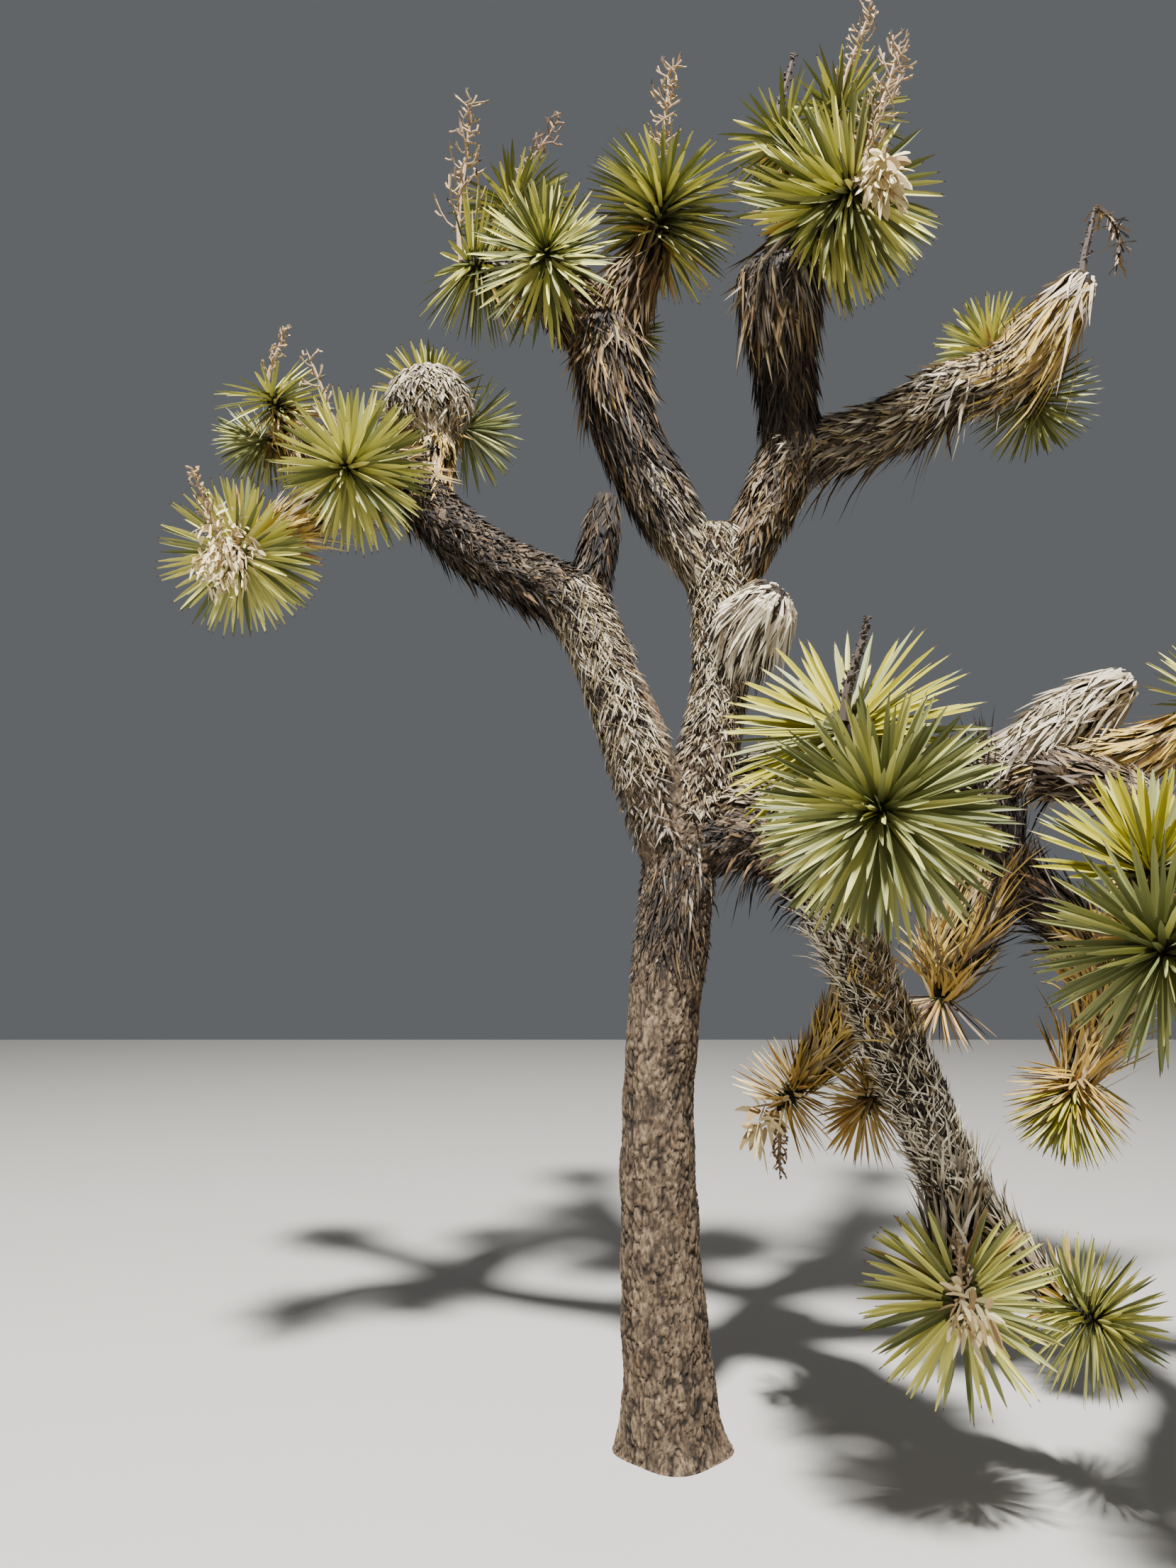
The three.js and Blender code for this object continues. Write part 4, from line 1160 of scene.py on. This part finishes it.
def corky_bark():
    """Weathered corky bark in plates: pale and worn on top, dark in the fissures, partly the bark's own
    colour and partly painted shade, reddish where it has flaked, with upright flakes of about 10 by 20 mm,
    lighter where they stand out and darker where they sink, as painted light and shade over their bump."""
    material, tree = new_material("corky_bark")
    place = add_node(tree, "ShaderNodeTexCoord").outputs["Object"]
    relief = add_node(tree, "ShaderNodeAttribute", {"attribute_name": "relief"}).outputs["Fac"]
    # the relief sets the colour: pale on the plates, and near-black in the fissures, partly the bark's own
    # colour and partly painted shade
    depth = add_node(tree, "ShaderNodeValToRGB", inputs={"Fac": relief})
    stops = depth.color_ramp.elements
    stops[0].position, stops[0].color = 0.24, linear("#1b150f")
    stops[1].position, stops[1].color = 1.0, linear("#8b775d")
    for position, colour in ((0.5, "#493b2c"), (0.75, "#6c5a45")):
        stops.new(position).color = linear(colour)
    patches = spread_value(tree, add_grain(tree, place, PATCH_SIZE, 4.0), 0.58, 0.75, 0.0, 0.5)
    warm = multiply_colours(tree, patches, depth.outputs["Color"], linear("#d99f78"))
    stretch = (1.0, 1.0, FLAKE_SLIMNESS)
    upright = add_node(tree, "ShaderNodeMapping", inputs={"Vector": place, "Scale": stretch})
    flakes = add_grain(tree, upright.outputs["Vector"], FLAKE_WIDTH, 5.0, 0.7)
    # the flakes' noise also darkens low spots and lightens high ones: random grain, plus painted light and
    # shade over the bump
    worn_and_shaded = multiply_colours(tree, 1.0, warm, spread_value(tree, flakes, 0.36, 0.62, 0.3, 1.1))
    bump = add_node(tree, "ShaderNodeBump", inputs={"Strength": 0.8, "Distance": 0.004, "Height": flakes})
    normal = bump.outputs["Normal"]
    finish_surface(tree, {"Base Color": worn_and_shaded, "Roughness": 0.9, "IOR": 1.4, "Normal": normal})
    return material


def plain_floor():
    """Matt pale studio floor."""
    return plain_surface("studio_floor", "#a6a39d", {"Roughness": 0.9})


# Camera, light and floor


def set_camera():
    """A phone's main camera, held 1.5 m above the ground and 3.7 m in front of the trunk."""
    data = bpy.data.cameras.new("camera")
    data.sensor_width = SENSOR
    data.lens = FOCAL_LENGTH / PHOTO_HEIGHT * SENSOR
    camera = place_object("camera", data)
    camera.location = CAMERA_PLACE
    camera.rotation_euler = (math.radians(90 + CAMERA_PITCH), 0, 0)
    bpy.context.scene.camera = camera


def add_area_light(name, place, target, size, power):
    data = bpy.data.lights.new(name, "AREA")
    data.shape = "DISK"
    data.size = size
    data.energy = power
    light = place_object(name, data)
    light.location = place
    light.rotation_euler = (Vector(target) - Vector(place)).to_track_quat("-Z", "Y").to_euler()


def light_scene():
    """A soft key light high above the camera, a weak fill, a weak light from behind, and a pale surround."""
    for name, light in LIGHTS.items():
        add_area_light(name, *light)
    world = bpy.data.worlds.new("surround")
    world.use_nodes = True
    colour, strength = SURROUND
    inputs = world.node_tree.nodes["Background"].inputs
    inputs["Color"].default_value = linear(colour)
    inputs["Strength"].default_value = strength
    bpy.context.scene.world = world


def lay_floor(material):
    corners = [(FLOOR_REACH * x, FLOOR_REACH * y, 0) for x, y in ((-1, -1), (1, -1), (1, 1), (-1, 1))]
    made = new_mesh("floor", corners, [(0, 1, 2, 3)])
    made.materials.append(material)
    place_object("floor", made)


# The tree


def settle(piece, nodes=()):
    """Gives a piece its body and hides the solids that it stands for."""
    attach(piece, "root")
    if nodes:
        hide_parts(*nodes)


def make_bark(limbs, material):
    fused = fuse(limb_skins(limbs, FUSED_LIMBS, 48), BARK_VOXEL)
    flatten_foot(fused)
    owner = relieve_bark(fused, limbs, FUSED_LIMBS)
    trunk = part_of(fused, "trunk_bark", owner == 0)
    boughs = part_of(fused, "bough_bark", owner != 0)
    others = [name for name in LIMBS if name not in FUSED_LIMBS]
    skins = limb_skins(limbs, others, 20)
    # the skins under the dead leaves take a dark painted shade
    keep_relief(skins, np.full(len(skins.vertices), COATED_BARK_SHADE))
    coated = place_object("limb_bark", skins)
    for piece in (trunk, boughs, coated):
        piece.data.materials.append(material)
    settle(trunk, ["trunk"])
    settle(boughs, [name for name in FUSED_LIMBS if name != "trunk"])
    settle(coated, others)


def make_thatch(limbs, materials):
    """The dead leaves on the limbs, in a piece for each part of the tree."""
    groups = {
        "left_thatch": [name for name in COATS if name.startswith("left")],
        "right_thatch": [name for name in COATS if name.startswith(("right", "broom"))],
        "centre_thatch": [name for name in COATS if name.startswith(("centre", "column", "mop"))],
    }
    placed = [name for group in groups.values() for name in group]
    groups["lower_thatch"] = [name for name in COATS if name not in placed]
    for label, group in groups.items():
        heap = Heap(DEAD_COLOURS)
        for name in group:
            for number, plan in enumerate(COATS[name]):
                seed = SEEDS["coats"] + 10 * list(LIMBS).index(name) + number
                coat_blades(heap, limbs[name].line, limbs[name].girth, plan, seed)
        settle(heap.mesh(label, materials))


def make_skirts(stems, materials):
    heap = Heap(DEAD_COLOURS)
    for number, (name, stem) in enumerate(stems.items()):
        # the stem cores are coloured near-black as painted shade
        stem_core(heap, stem, "thatch_dark")
        coat_blades(heap, stem.line, stem.girth, stem_coat(stem), SEEDS["skirts"] + number, inner=0.8)
    settle(heap.mesh("rosette_skirts", materials))


def make_leaves(stems, obstacles, materials):
    """Living leaves in an upper and a lower piece, and the withered ones in a piece of their own."""
    groups = {"upper_leaves": [], "lower_leaves": [], "withered_leaves": []}
    for name, stem in stems.items():
        if stem.tone == "withered":
            groups["withered_leaves"].append(name)
        else:
            groups["upper_leaves" if stem.heart[2] > UPPER_HEIGHT else "lower_leaves"].append(name)
    for label, group in groups.items():
        heap = Heap(LEAF_COLOURS)
        for name in group:
            rosette_leaves(heap, name, stems, obstacles, SEEDS["leaves"] + list(stems).index(name))
        settle(heap.mesh(label, materials), ["rosette_" + name for name in group])


def make_flowers(stems, stalks, materials):
    heap = Heap(STALK_COLOURS)
    for number, stalk in enumerate(stalks):
        flower_stalk(heap, stalk, SEEDS["stalks"] + number)
        if stalk.on in FLOWER_REMAINS:
            flower_remains(heap, stems[stalk.on], FLOWER_REMAINS[stalk.on], SEEDS["remains"] + number)
    settle(heap.mesh("flower_stalks", materials))


def build_tree():
    limbs = grow_limbs()
    stems = grow_stems(limbs)
    stalks = grow_stalks(limbs, stems)
    obstacles = obstacle_list(limbs, stems, stalks)
    materials = {name: waxy_leaf(name, colour) for name, colour in LEAF_COLOURS.items()}
    dry_colours = {**DEAD_COLOURS, **STALK_COLOURS}
    materials.update({name: dry_leaf(name, colour) for name, colour in dry_colours.items()})
    make_bark(limbs, corky_bark())
    make_thatch(limbs, materials)
    make_skirts(stems, materials)
    make_leaves(stems, obstacles, materials)
    make_flowers(stems, stalks, materials)


build_tree()
set_camera()
light_scene()
lay_floor(plain_floor())
